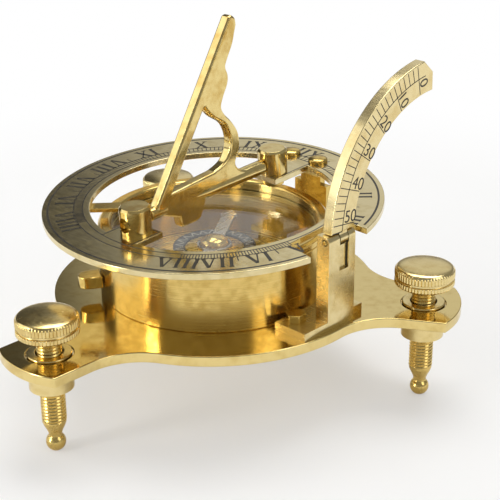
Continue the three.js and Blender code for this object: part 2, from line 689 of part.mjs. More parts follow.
function gnomonGeometry() {
  const barTop = gnomonAxis + gnomonBarRadius;
  const foot = new THREE.Vector2(barSouth + styleSetback, barTop);
  const tip = new THREE.Vector2(foot.x + styleRun, barTop + styleRise);
  const along = tip.clone().sub(foot).normalize();
  const across = new THREE.Vector2(along.y, -along.x);
  const heel = new THREE.Vector2(barNorth - scrollHeelSetback, barTop);
  const onStyle = ([down, side]) => tip.clone().addScaledVector(along, -down).addScaledVector(across, side);
  const byHeel = ([north, rise]) => new THREE.Vector2(heel.x + north, barTop + rise);
  const byFoot = ([north, height]) => new THREE.Vector2(foot.x + north, height);

  const back = smooth([
    ...styleThroat.map(onStyle), onStyle(styleBump), onStyle(styleWaist), ...scrollArm.map(byHeel), heel,
  ]);
  const outline = [
    foot, tip, ...tipRound.map(onStyle), ...back, byHeel([0, -gnomonBarRadius]),
    byFoot([lobe[0][0], gnomonAxis]), ...lobe.map(byFoot), byFoot([0, footRise]),
  ];
  const openingHeight = barTop + openingLedge;
  const innerAt = (height) => foot.x + ((height - barTop) * along.x + styleWidth) / along.y;
  const opening = [
    new THREE.Vector2(innerAt(openingHeight), openingHeight),
    ...smooth([
      byHeel(openingHeel), ...openingBelly.map(byHeel),
      onStyle(openingShoulder), onStyle(openingNeck), onStyle(openingTop),
    ]),
    new THREE.Vector2(innerAt(onStyle(openingTop).y), onStyle(openingTop).y),
  ];
  const half = gnomonThickness / 2;
  const boreRadius = gnomonPinRadius + fitGap;
  const bore = gnomonPinBite + fitGap;
  const boss = rodAlongY(southBossRadius, barSouth, barSouth + southBossLength, smallFacets);
  const bar = rodAlongY(gnomonBarRadius, foot.x + gnomonBarStart, barNorth, smallFacets);
  return cut(
    join(
      uprightSlab(outline, -half, half, opening),
      boss.translate(0, 0, gnomonAxis),
      bar.translate(0, 0, gnomonAxis),
    ),
    rodAlongY(boreRadius, barSouth - cutMargin, barSouth + bore, smallFacets).translate(0, 0, gnomonAxis),
    rodAlongY(boreRadius, barNorth - bore, barNorth + cutMargin, smallFacets).translate(0, 0, gnomonAxis),
  );
}
addPiece('gnomon', gnomonGeometry().translate(0, -hingeReach, ringTopLift), brass, ringFrame);
addPiece('gnomon_pin_south', rodAlongY(
  gnomonPinRadius, -southPostReach - postRadius + gnomonPinRecess, barSouth + gnomonPinBite, smallFacets,
).translate(0, -hingeReach, gnomonLift), goldBrass, ringFrame);
addPiece('gnomon_pin_north', rodAlongY(
  gnomonPinRadius, barNorth - gnomonPinBite, northPostReach + postRadius + gnomonPinProud, smallFacets,
).translate(0, -hingeReach, gnomonLift), goldBrass, ringFrame);

// Latitude arc: a flat sector about the ring's hinge axis, with a tongue that turns in its stem's slot
function arcOutline() {
  const end = Math.PI - arcEnd;
  const inner = Math.PI - seatAngle(arcInner);
  const outer = Math.PI - seatAngle(arcOuter);
  const steps = 2 * roundSteps;
  return [
    ...arcPoints(hingeReach, hingeHeight, arcInner, inner, end, steps),
    ...arcPoints(hingeReach, hingeHeight, arcOuter - arcTipClip, end, end, 1).slice(1),
    ...arcPoints(hingeReach, hingeHeight, arcOuter, end + arcTipClip / arcOuter, outer, steps),
  ];
}

const foldBore = rodAlongY(
  foldPinRadius + fitGap, stemSouth - cutMargin, stemNorth + cutMargin, smallFacets,
).translate(foldAxisEast, 0, foldAxisHeight);

function foldBarrel(south, north) {
  return rodAlongY(foldRadius, south, north, mediumFacets).translate(foldAxisEast, 0, foldAxisHeight);
}

function arcGeometry() {
  const west = arcMiddle - arcThickness / 2;
  const east = arcMiddle + arcThickness / 2;
  const south = slotSouth + fitGap;
  const north = slotNorth - fitGap;
  return cut(
    join(
      uprightSlab(arcOutline(), west, east),
      block(foldAxisEast - foldRadius, east, south, north, foldAxisHeight, arcSeat + tongueRoot),
      foldBarrel(south, north),
    ),
    foldBore,
  );
}
addPiece('latitude_arc', arcGeometry(), paleBrass);

// The arc's stem: an upright, slotted at its top and round there about the pin, and a flange below
function stemGeometry() {
  const west = stemFace - stemThickness;
  const flangeTop = plateTop + footFlange;
  const pocket = foldRadius + fitGap;
  return cut(
    join(
      block(footInner, stemFace, flangeSouth, stemNorth, plateTop, flangeTop),
      block(footInner, stemFace - flangeTailSetback, stemSouth, flangeNorth, plateTop, flangeTop),
      block(west, stemFace, stemSouth, stemNorth, plateTop, foldAxisHeight),
      block(west, foldAxisEast, stemSouth, stemNorth, plateTop, stemTop),
      foldBarrel(stemSouth, stemNorth),
    ),
    foldBore,
    block(
      foldAxisEast - pocket, stemFace + cutMargin, slotSouth, slotNorth,
      foldAxisHeight - pocket, stemTop + cutMargin,
    ),
    block(
      stemFace - stemSlotDepth, stemFace + cutMargin, slotSouth, slotNorth,
      stemTop - stemSlotLength, foldAxisHeight,
    ),
    ...holesAt(arcScrewPlaces, screwShankRadius + fitGap, plateTop - cutMargin, flangeTop + cutMargin),
  );
}
addPiece('arc_stem', stemGeometry(), paleBrass);
addPiece('arc_hinge_pin', rodAlongY(
  foldPinRadius, stemSouth - foldPinProud, stemNorth + foldPinProud, smallFacets,
).translate(foldAxisEast, 0, foldAxisHeight), goldBrass);

// A screw with a six-sided head
function hexScrew(seat, end) {
  return join(
    turnedRod(hexHeadRadius, seat, seat + hexHeadHeight, nutSides),
    turnedRod(screwShankRadius, end, seat + hexHeadHeight / 2, smallFacets),
  );
}
arcScrewPlaces.forEach(([x, y], screw) => {
  const geometry = hexScrew(plateTop + footFlange, 0).translate(x, y, 0);
  addPiece(`arc_stem_screw_${screw + 1}`, geometry, goldBrass);
});

export default compass;
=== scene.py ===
import json
import math

import bpy
import numpy as np
from mathutils import Matrix, Vector
from mathutils.geometry import tessellate_polygon


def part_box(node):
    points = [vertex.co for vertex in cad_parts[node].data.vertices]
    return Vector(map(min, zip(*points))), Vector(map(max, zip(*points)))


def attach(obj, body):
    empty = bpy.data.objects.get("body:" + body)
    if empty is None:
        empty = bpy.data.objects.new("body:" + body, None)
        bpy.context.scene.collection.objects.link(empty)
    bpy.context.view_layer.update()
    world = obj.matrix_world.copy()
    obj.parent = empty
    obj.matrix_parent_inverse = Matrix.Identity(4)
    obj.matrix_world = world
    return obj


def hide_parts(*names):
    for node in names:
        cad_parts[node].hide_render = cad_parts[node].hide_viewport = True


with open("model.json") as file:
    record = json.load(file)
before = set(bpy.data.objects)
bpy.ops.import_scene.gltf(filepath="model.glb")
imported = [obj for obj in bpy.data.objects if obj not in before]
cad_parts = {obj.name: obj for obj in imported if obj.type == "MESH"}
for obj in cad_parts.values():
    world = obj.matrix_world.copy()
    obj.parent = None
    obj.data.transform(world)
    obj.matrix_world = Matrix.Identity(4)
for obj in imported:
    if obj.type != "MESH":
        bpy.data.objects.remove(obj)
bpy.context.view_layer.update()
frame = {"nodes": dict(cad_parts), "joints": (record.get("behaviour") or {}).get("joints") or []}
jointAt = {joint["name"]: joint for joint in frame["joints"]}
mm = 0.001  # every size below is in millimetres
print("frame loaded:", len(frame["nodes"]), "nodes")


# Mesh helpers

meshSet = dict(weldDigits=5, samePoint=1e-4, onAxis=1e-6, cornerShare=0.45, mitreLimit=-0.4)


def corners(node):
    # lowest and highest corner of a frame node, in millimetres
    low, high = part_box(node)
    return np.array(low) / mm, np.array(high) / mm


def joined(parts):
    # several (points, faces) sets laid end to end, the faces of each counted on from the set before
    points = np.concatenate([part[0] for part in parts])
    starts = np.cumsum([0] + [len(part[0]) for part in parts[:-1]])
    return points, [f + start for part, start in zip(parts, starts) for f in part[1]]


def welded(parts):
    # the joined sets with points that lie together merged
    points, faces = joined(parts)
    _, first, back = np.unique(np.round(points, meshSet["weldDigits"]), axis=0, return_index=True,
                               return_inverse=True)
    return points[first], [back.reshape(-1)[f] for f in faces]


def readMesh(mesh):
    # points and triangles of a Blender mesh
    points = np.zeros(len(mesh.vertices) * 3)
    mesh.vertices.foreach_get("co", points)
    mesh.calc_loop_triangles()
    triangles = np.zeros(len(mesh.loop_triangles) * 3, int)
    mesh.loop_triangles.foreach_get("vertices", triangles)
    return points.reshape(-1, 3), triangles.reshape(-1, 3)


def putMesh(name, parts, material, body, nodes=(), smoothAngle=38):
    # the joined sets as one mesh, smooth below the given angle
    points, faces = joined(parts)
    sizes = np.concatenate([np.full(len(f), f.shape[1]) for f in faces])
    loops = np.concatenate([f.ravel() for f in faces])
    mesh = bpy.data.meshes.new(name)
    mesh.vertices.add(len(points))
    mesh.vertices.foreach_set("co", (points * mm).astype(np.float32).ravel())
    mesh.loops.add(len(loops))
    mesh.loops.foreach_set("vertex_index", loops.astype(np.int32))
    mesh.polygons.add(len(sizes))
    mesh.polygons.foreach_set("loop_start", (np.cumsum(sizes) - sizes).astype(np.int32))
    mesh.update(calc_edges=True)
    mesh.validate()
    mesh.polygons.foreach_set("use_smooth", np.ones(len(mesh.polygons), bool))
    mesh.set_sharp_from_angle(angle=math.radians(smoothAngle))
    mesh.materials.append(material)
    piece = bpy.data.objects.new(name, mesh)
    bpy.context.scene.collection.objects.link(piece)
    weighted = piece.modifiers.new("flatFaces", "WEIGHTED_NORMAL")
    weighted.keep_sharp = True
    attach(piece, body)
    if nodes:
        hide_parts(*nodes)
    return piece


def gridFaces(rows, columns, closedRows=False, closedColumns=True):
    # quads of a grid of rows by columns, wrapping where it is closed
    i = np.arange(rows if closedRows else rows - 1)[:, None]
    j = np.arange(columns if closedColumns else columns - 1)[None, :]
    nextI, nextJ = (i + 1) % rows, (j + 1) % columns
    quads = [i * columns + j, i * columns + nextJ, nextI * columns + nextJ, nextI * columns + j]
    return np.stack(np.broadcast_arrays(*quads), -1).reshape(-1, 4)


def softCorners(points, radius, steps=4):
    # each corner of a polyline gives way to a parabola that starts and ends the radius away from it
    points = np.asarray(points, float)
    before, at, after = points[:-2], points[1:-1], points[2:]
    lengthIn = np.linalg.norm(at - before, axis=1, keepdims=True)
    lengthOut = np.linalg.norm(after - at, axis=1, keepdims=True)
    reach = np.minimum(radius, meshSet["cornerShare"] * np.minimum(lengthIn, lengthOut))
    start = at + (before - at) / lengthIn * reach
    end = at + (after - at) / lengthOut * reach
    t = np.linspace(0, 1, steps + 1)[None, :, None]
    bend = start[:, None] * (1 - t) ** 2 + 2 * at[:, None] * t * (1 - t) + end[:, None] * t ** 2
    return np.concatenate([points[:1], bend.reshape(-1, 2), points[-1:]])


def turned(profile, segments, centre=(0, 0), swell=lambda angle, height: 0 * angle):
    # a profile of radius and height carried round the Z axis, from the axis back to it or as a loop whose
    # last point repeats the first; swell(angle, height) adds to the radius
    profile = np.asarray(profile, float)
    solid = profile[0, 0] < meshSet["onAxis"]
    rings = profile[int(solid):-1]
    angle = np.linspace(0, 2 * math.pi, segments, endpoint=False)[None, :]
    radius = rings[:, :1] + swell(angle, rings[:, 1:])
    x, y = centre[0] + radius * np.cos(angle), centre[1] + radius * np.sin(angle)
    points = np.stack([x, y, np.broadcast_to(rings[:, 1:], x.shape)], -1).reshape(-1, 3)
    faces = [gridFaces(len(rings), segments, closedRows=not solid)]
    if solid:
        j, count = np.arange(segments), len(points)
        follow, last = (j + 1) % segments, count - segments
        points = np.concatenate([points, [[*centre, height] for height in profile[[0, -1], 1]]])
        faces += [np.stack([np.full(segments, count), follow, j], -1),
                  np.stack([np.full(segments, count + 1), last + j, last + follow], -1)]
    return points, faces


def arcPoints(centre, radius, start, end, steps):
    # points along a circle's arc, both ends included
    angle = np.linspace(start, end, steps + 1)
    return np.stack([centre[0] + radius * np.cos(angle), centre[1] + radius * np.sin(angle)], -1)


def circlePoints(centre, radius, steps):
    # points round a whole circle, the first not repeated
    return arcPoints(centre, radius, 0, 2 * math.pi, steps)[:-1]


def splinePoints(knots, steps):
    # a smooth line through the knots: uniform Catmull-Rom, with the end knots doubled
    knots = np.asarray(knots, float)
    padded = np.concatenate([knots[:1], knots, knots[-1:]])
    a, b, c, d = padded[:-3, None], padded[1:-2, None], padded[2:-1, None], padded[3:, None]
    t = np.linspace(0, 1, steps, endpoint=False)[None, :, None]
    line = 0.5 * (2 * b + (c - a) * t + (2 * a - 5 * b + 4 * c - d) * t ** 2
                  + (3 * b - 3 * c + d - a) * t ** 3)
    return np.concatenate([line.reshape(-1, 2), knots[-1:]])


def tidyLoop(loop):
    # a closed outline without points that repeat the one before
    loop = np.asarray(loop, float)
    gap = np.linalg.norm(loop - np.roll(loop, 1, axis=0), axis=1)
    return loop[gap > meshSet["samePoint"]]


def leftOf(way):
    # unit vectors square to the given ones, on their left
    return np.stack([-way[:, 1], way[:, 0]], -1) / np.linalg.norm(way, axis=1, keepdims=True)


def inset(loop, distance):
    # every point moved to the left of the way round by the distance, mitred at corners
    leftOut = leftOf(np.roll(loop, -1, axis=0) - loop)
    leftIn = np.roll(leftOut, 1, axis=0)
    spread = 1 + np.maximum(np.sum(leftIn * leftOut, axis=1, keepdims=True), meshSet["mitreLimit"])
    return loop + distance * (leftIn + leftOut) / spread


def signedArea(loop):
    # half the sum of the cross products of neighbouring points: positive for a loop that turns left
    follow = np.roll(loop, -1, axis=0)
    return 0.5 * np.sum(loop[:, 0] * follow[:, 1] - follow[:, 0] * loop[:, 1])


def atHeight(loop, z):
    # the points of an outline in space, all at one height
    return np.column_stack([loop, np.full(len(loop), z)])


def roundedPlate(outline, holes, low, high, edge, steps=4, pockets=(), pocketDepth=0):
    # an outline and its holes carried from low to high, with quarter-round edges of the given radius;
    # pockets are round holes in the low face that end at their depth
    loops = [tidyLoop(outline)] + [tidyLoop(hole) for hole in holes]
    loops = [loop if (signedArea(loop) > 0) == (k == 0) else loop[::-1] for k, loop in enumerate(loops)]
    quarter = np.linspace(0, math.pi / 2, steps + 1) if edge > 0 else np.array([math.pi / 2])
    depth = np.concatenate([edge * (1 - np.sin(quarter)), edge * (1 - np.sin(quarter[::-1]))])
    height = np.concatenate([low + edge * (1 - np.cos(quarter)), high - edge * (1 - np.cos(quarter[::-1]))])
    parts = []
    for loop in loops:
        rows = [atHeight(inset(loop, d), z) for d, z in zip(depth, height)]
        parts.append((np.concatenate(rows), [gridFaces(len(rows), len(loop))]))
    for row, facing in ((0, -1), (-1, 1)):
        level = [inset(loop, depth[row]) for loop in loops] + (list(pockets) if row == 0 else [])
        triangles = np.array(tessellate_polygon([[Vector((*p, 0)) for p in loop] for loop in level]))
        flat = np.concatenate(level)
        a, b, c = flat[triangles[:, 0]], flat[triangles[:, 1]], flat[triangles[:, 2]]
        turn = (b - a)[:, 0] * (c - a)[:, 1] - (b - a)[:, 1] * (c - a)[:, 0]
        triangles = np.where((turn * facing > 0)[:, None], triangles, triangles[:, ::-1])
        parts.append((atHeight(flat, height[row]), [triangles]))
    for pocket in pockets:
        rows = [atHeight(pocket, z) for z in (low, low + pocketDepth)]
        middle = np.array([[*pocket.mean(0), low + pocketDepth]])
        j = len(pocket) + np.arange(len(pocket))
        fan = np.stack([np.full(len(pocket), 2 * len(pocket)), np.roll(j, -1), j], -1)
        parts.append((np.concatenate([*rows, middle]), [gridFaces(2, len(pocket))[:, ::-1], fan]))
    return welded(parts)


def upright(part):
    # a plate drawn in north and height, with its thickness along east
    points, faces = part
    return points[:, [2, 0, 1]], faces


def alongNorth(part):
    # a piece turned about Z laid with its axis to the north
    points, faces = part
    return points[:, [1, 2, 0]], faces


def moved(part, offset):
    # the same set, shifted by an offset in millimetres
    points, faces = part
    return points + np.asarray(offset, float), faces


# The hour ring's own frame: hinge axis and droop, read from the joints

hingeAt = np.array(jointAt["ring_tilt"]["pos_m"]) / mm
gnomonAxisWay = -np.array(jointAt["gnomon_fold"]["axis"])
droopCos, droopSin = gnomonAxisWay[1], gnomonAxisWay[2]


def onRing(part):
    # a point at east, north and lift over the hinge axis, turned with the ring about that axis
    points, faces = part
    y, lift = points[:, 1] - hingeAt[1], points[:, 2]
    north = hingeAt[1] + y * droopCos - lift * droopSin
    height = hingeAt[2] + y * droopSin + lift * droopCos
    return np.column_stack([points[:, 0], north, height]), faces


# Shader helpers, and node groups shared by the finishes

socketKinds = {1: "NodeSocketFloat", 3: "NodeSocketVector", 4: "NodeSocketColor"}


def feed(tree, node, inputs):
    # each input of a node becomes a link from a socket or a plain value
    for key, value in dict(inputs).items():
        if isinstance(value, bpy.types.NodeSocket):
            tree.links.new(value, node.inputs[key])
        else:
            node.inputs[key].default_value = value


def addNode(tree, kind, inputs=(), **settings):
    # a shader node with its settings and its inputs
    node = tree.nodes.new("ShaderNode" + kind)
    for key, value in settings.items():
        setattr(node, key, value)
    feed(tree, node, inputs)
    return node


def useGroup(tree, group, inputs):
    # a shared node group with its inputs
    return addNode(tree, "Group", inputs, node_tree=group)


def mathOut(tree, operation, *inputs):
    # one operation on two or three numbers or sockets
    return addNode(tree, "Math", enumerate(inputs), operation=operation).outputs[0]


def vectorOut(tree, operation, *inputs):
    # one operation on vectors: both outputs, since the result is a vector or a value
    return addNode(tree, "VectorMath", enumerate(inputs), operation=operation).outputs


def noiseOut(tree, inputs, **settings):
    # cloudy noise between 0 and 1
    return addNode(tree, "TexNoise", inputs, **settings).outputs["Fac"]


def mapped(tree, value, span, target=(0.0, 1.0), kind="SMOOTHSTEP"):
    # a value carried from one span to another, eased at both ends or straight
    inputs = zip(("Value", "From Min", "From Max", "To Min", "To Max"), (value, *span, *target))
    return addNode(tree, "MapRange", inputs, interpolation_type=kind).outputs[0]


def mixed(tree, factor, first, second):
    # a colour between two, by a factor
    inputs = {"Factor": factor, "A": first, "B": second}
    return addNode(tree, "Mix", inputs, data_type="RGBA").outputs["Result"]


def bumped(tree, height, depth, under=()):
    # a bump of the given depth in millimetres, over another one where it is given
    inputs = {"Height": height, "Strength": 1.0, "Distance": depth * mm, **dict(under)}
    return addNode(tree, "Bump", inputs).outputs[0]


def newMaterial(name):
    # a material, its tree, its surface shader and the piece's own coordinates
    material = bpy.data.materials.new(name)
    material.use_nodes = True
    tree = material.node_tree
    return material, tree, tree.nodes["Principled BSDF"], addNode(tree, "TexCoord").outputs["Object"]


def showMix(tree, factor, first, second):
    # the surface becomes a mix of two shaders, by a factor
    mix = addNode(tree, "MixShader", {0: factor, 1: first.outputs[0], 2: second.outputs[0]})
    tree.links.new(mix.outputs[0], tree.nodes["Material Output"].inputs["Surface"])


def newGroup(name, inputs, outputs):
    # a node group; one number makes a float socket, three a vector and four a colour
    group = bpy.data.node_groups.new(name, "ShaderNodeTree")
    for way, sockets in (("INPUT", inputs), ("OUTPUT", outputs)):
        for label, count in sockets.items():
            group.interface.new_socket(label, in_out=way, socket_type=socketKinds[count])
    return group, group.nodes.new("NodeGroupInput").outputs, group.nodes.new("NodeGroupOutput").inputs


toneSet = dict(broad={"Detail": 4.0, "Roughness": 0.6}, speck={"Detail": 2.0, "Roughness": 0.5}, finer=7.3,
               span=(0.17, 0.42))


def makePatinaTone(s):
    # two sizes of cloudy noise, multiplied, shift the metal between a clean and a deeper tone
    group, given, out = newGroup("patinaTone", dict(Vector=3, Clean=4, Deep=4, Scale=1, Amount=1),
                                 dict(Color=4, Mask=1))
    broad = noiseOut(group, {"Vector": given["Vector"], "Scale": given["Scale"], **s["broad"]})
    finer = mathOut(group, "MULTIPLY", given["Scale"], s["finer"])
    speck = noiseOut(group, {"Vector": given["Vector"], "Scale": finer, **s["speck"]})
    level = mapped(group, mathOut(group, "MULTIPLY", broad, speck), s["span"], (0.0, given["Amount"]))
    group.links.new(mixed(group, level, given["Clean"], given["Deep"]), out["Color"])
    group.links.new(level, out["Mask"])
    return group


lineSet = dict(hair={"Detail": 3.0, "Roughness": 0.65}, lathe={"Detail": 3.0, "Roughness": 0.7})


def makeHairlines(s):
    # noise drawn out along one direction: fine polishing and brushing lines
    group, given, out = newGroup("hairlines", dict(Vector=3, Stretch=3, Scale=1), dict(Height=1))
    drawn = vectorOut(group, "MULTIPLY", given["Vector"], given["Stretch"])[0]
    group.links.new(noiseOut(group, {"Vector": drawn, "Scale": given["Scale"], **s["hair"]}), out["Height"])
    return group


def makeLatheLines(s):
    # one-dimensional noise over distance from the axis plus height: rings on faces, hoops on walls
    group, given, out = newGroup("latheLines", dict(Vector=3, Scale=1), dict(Height=1))
    x, y, z = addNode(group, "SeparateXYZ", {0: given["Vector"]}).outputs
    flat = addNode(group, "CombineXYZ", {0: x, 1: y}).outputs[0]
    total = mathOut(group, "ADD", vectorOut(group, "LENGTH", flat)["Value"], z)
    lines = noiseOut(group, {"W": total, "Scale": given["Scale"], **s["lathe"]}, noise_dimensions="1D")
    group.links.new(lines, out["Height"])
    return group


patinaTone = makePatinaTone(toneSet)
hairlines = makeHairlines(lineSet)
latheLines = makeLatheLines(lineSet)


# Finishes

brassLook = dict(clean=(0.81, 0.64, 0.27), deep=(0.61, 0.42, 0.12), toneScale=45.0, toneAmount=0.55,
                 spread=0.0, grain=0.25, stretch=(1.0, 1.0, 1.0), lineScale=900.0, lineSpan=(0.3, 0.7),
                 rough=(0.09, 0.17), patinaRough=0.1, waveScale=70.0, waveDepth=0.05, lineDepth=0.0012)


def brassFinish(name, **changes):
    # patina tone for colour, hairlines or lathe lines for roughness and bump, a slow wave under the polish;
    # a finish with a spread is lathe-turned and smears its highlights round the axis
    look = {**brassLook, **changes}
    material, tree, shader, place = newMaterial(name)
    tone = useGroup(tree, patinaTone, {
        "Vector": place, "Clean": (*look["clean"], 1), "Deep": (*look["deep"], 1),
        "Scale": look["toneScale"], "Amount": look["toneAmount"]}).outputs
    lines = {"Vector": place, "Scale": look["lineScale"]}
    if look["spread"]:
        around = addNode(tree, "Tangent", direction_type="RADIAL", axis="Z").outputs[0]
        feed(tree, shader, {"Tangent": around, "Anisotropic": look["spread"],
                            "Anisotropic Rotation": look["grain"]})
        height = useGroup(tree, latheLines, lines).outputs["Height"]
    else:
        height = useGroup(tree, hairlines, {**lines, "Stretch": look["stretch"]}).outputs["Height"]
    rough = mapped(tree, height, look["lineSpan"], look["rough"], "LINEAR")
    dulled = mathOut(tree, "MULTIPLY_ADD", tone["Mask"], look["patinaRough"], rough)
    wave = noiseOut(tree, {"Vector": place, "Scale": look["waveScale"], "Detail": 1.0})
    slow = bumped(tree, wave, look["waveDepth"])
    fine = bumped(tree, height, look["lineDepth"], {"Normal": slow})
    feed(tree, shader, {"Metallic": 1.0, "Base Color": tone["Color"], "Roughness": dulled, "Normal": fine})
    return material


plateBrass = brassFinish("plateBrass", rough=(0.05, 0.11), waveDepth=0.09, waveScale=45.0)
bowlBrass = brassFinish(
    "bowlBrass", spread=0.85, lineScale=2600.0, lineDepth=0.002, rough=(0.13, 0.24),
    clean=(0.77, 0.56, 0.19), deep=(0.55, 0.36, 0.08))
ringBrass = brassFinish(
    "ringBrass", clean=(0.78, 0.66, 0.37), deep=(0.60, 0.47, 0.19), stretch=(0.18, 1.0, 1.0),
    lineScale=1500.0, rough=(0.1, 0.22))
arcBrass = brassFinish(
    "arcBrass", clean=(0.82, 0.68, 0.36), deep=(0.66, 0.48, 0.18), stretch=(0.1, 1.0, 1.0),
    lineScale=1500.0, lineDepth=0.0006, rough=(0.17, 0.25))
castBrass = brassFinish(
    "castBrass", rough=(0.1, 0.2), waveScale=160.0, waveDepth=0.06, deep=(0.58, 0.36, 0.08), toneAmount=0.7)
knobBrass = brassFinish("knobBrass", clean=(0.82, 0.66, 0.31), rough=(0.12, 0.24))
threadBrass = brassFinish("threadBrass", clean=(0.78, 0.57, 0.19), rough=(0.16, 0.3))
fittingBrass = brassFinish(
    "fittingBrass", clean=(0.78, 0.57, 0.18), deep=(0.50, 0.29, 0.05), toneScale=110.0, rough=(0.12, 0.24))
dialBrass = brassFinish(
    "dialBrass", spread=0.7, lineScale=1500.0, lineDepth=0.003, clean=(0.74, 0.56, 0.20),
    deep=(0.52, 0.34, 0.08), rough=(0.2, 0.34))
needleSteel = brassFinish(
    "needleSteel", clean=(0.58, 0.56, 0.55), deep=(0.44, 0.42, 0.41), stretch=(1.0, 0.1, 1.0),
    rough=(0.2, 0.34))

paintGrain = dict(lines={"Scale": 3000.0, "Stretch": (1, 1, 1)}, depth=0.003)


def plainFinish(name, light, dark, rough, scale):
    # paint or wax: noise between two tones, and a little noise in the roughness and the bump
    material, tree, shader, place = newMaterial(name)
    tone = useGroup(tree, patinaTone, {"Vector": place, "Clean": (*dark, 1), "Deep": (*light, 1),
                                       "Scale": scale, "Amount": 1.0}).outputs
    grain = useGroup(tree, hairlines, {"Vector": place, **paintGrain["lines"]}).outputs["Height"]
    feed(tree, shader, {"Base Color": tone["Color"], "Normal": bumped(tree, grain, paintGrain["depth"]),
                        "Roughness": mapped(tree, tone["Mask"], (0.0, 1.0), rough, "LINEAR")})
    return material


# dark wax in the engraved lines; the same dark finish also paints the shade on the north wall of the stem's
# slot
engravingWaxAndPaintedShade = plainFinish("engravingWaxAndPaintedShade", (0.06, 0.045, 0.02), (0.012, 0.010, 0.006), (0.35, 0.6), 400.0)
cardEnamel = plainFinish("cardEnamel", (0.024, 0.019, 0.013), (0.011, 0.009, 0.006), (0.45, 0.6), 300.0)
chevronPaint = plainFinish("chevronPaint", (0.42, 0.39, 0.31), (0.27, 0.24, 0.18), (0.45, 0.65), 300.0)

glassLook = dict(colour=(0.97, 0.985, 0.98, 1), bending=1.45, dust={"Scale": 120.0, "Amount": 0.05})


def glassFinish(look):
    # clear sheet: full transmission, a trace of dust in the roughness, and light let through for shadows
    material, tree, shader, place = newMaterial("coverGlass")
    dust = useGroup(tree, patinaTone, {"Vector": place, **look["dust"]}).outputs["Mask"]
    feed(tree, shader, {"Base Color": look["colour"], "Transmission Weight": 1.0, "IOR": look["bending"],
                        "Roughness": dust})
    shadow = addNode(tree, "LightPath").outputs["Is Shadow Ray"]
    showMix(tree, shadow, shader, addNode(tree, "BsdfTransparent"))
    return material


coverGlassFinish = glassFinish(glassLook)
print("finishes made:", len(bpy.data.materials))


# Base plate

plateSet = dict(discRadius=48.0, armReach=73.7, armHalfWidth=12.3, armEndRise=3.1, fillet=18.0,
                footCircle=62.8, bushHole=6.5, edge=0.3, screwCircle=22.6, headHole=3.1, headDepth=1.5,
                armSteps=24, discSteps=40, bushSteps=64, headSteps=48)
footAngles = -math.pi / 2 + np.arange(3) * 2 * math.pi / 3
footWays = np.stack([np.cos(footAngles), np.sin(footAngles)], -1)


def plateOutline(s):
    # disc arcs and three arms; each arm's sides meet the disc in fillets, its end is a flat arc
    side = s["armHalfWidth"] + s["fillet"]
    out = math.sqrt((s["discRadius"] + s["fillet"]) ** 2 - side ** 2)
    root = math.atan2(side, out)
    endRadius = (s["armHalfWidth"] ** 2 + s["armEndRise"] ** 2) / (2 * s["armEndRise"])
    endAngle = math.asin(s["armHalfWidth"] / endRadius)
    arm = np.concatenate([
        arcPoints((out, -side), s["fillet"], math.pi - root, math.pi / 2, s["armSteps"]),
        arcPoints((s["armReach"] - endRadius, 0), endRadius, -endAngle, endAngle, s["armSteps"]),
        arcPoints((out, side), s["fillet"], -math.pi / 2, root - math.pi, s["armSteps"]),
        arcPoints((0, 0), s["discRadius"], root, 2 * math.pi / 3 - root, s["discSteps"])[1:-1]])
    turn = footAngles[:, None]
    x = arm[None, :, 0] * np.cos(turn) - arm[None, :, 1] * np.sin(turn)
    y = arm[None, :, 0] * np.sin(turn) + arm[None, :, 1] * np.cos(turn)
    return np.stack([x, y], -1).reshape(-1, 2)


def platePart(s):
    # the outline with a hole for each bush, and a pocket from below for each of the bowl's screws
    low, high = corners("base_plate")
    bushHoles = [circlePoints(way * s["footCircle"], s["bushHole"], s["bushSteps"]) for way in footWays]
    heads = [circlePoints(way * s["screwCircle"], s["headHole"], s["headSteps"]) for way in footWays]
    return roundedPlate(plateOutline(s), bushHoles, low[2], high[2], s["edge"], pockets=heads,
                        pocketDepth=s["headDepth"])


putMesh("basePlate", [platePart(plateSet)], plateBrass, "base", ["base_plate"])


# Levelling feet

footSet = dict(thread=3.5, pitch=1.0, threadDepth=0.32, threadFade=2.4, rowsPerPitch=12, rodSides=72,
               rodSmooth=60, ball=2.8, ballFlat=1.0, neck=1.9, neckRise=0.3, taper=4.8, curveSteps=16,
               bore=3.8, bushRound=0.35, bushSides=96, knobRadius=8.7, band=2.5, groove=0.8, grooveDepth=0.6,
               dome=1.1, domeSteps=14, edge=0.5, soft=0.22, softSteps=3, underSetback=1.8, underRise=1.1,
               roof=0.8, knurls=54, knurlDepth=0.28, knurlSides=10, knurlPower=0.7, knurlStart=0.3,
               knurlEnd=0.05, knurlFade=0.5, grooveSlack=0.01, knobSmooth=50)


def bushPart(node, foot, s):
    # a square section carried round the leg; the line laps over its start, so the first curve is left out
    low, high = corners(node)
    outer = (high[0] - low[0]) / 2
    shape = [[s["bore"], low[2]], [outer, low[2]], [outer, high[2]], [s["bore"], high[2]]]
    ring = softCorners(shape + shape[:2], s["bushRound"])[5:]
    return turned([*ring, ring[0]], s["bushSides"], foot)


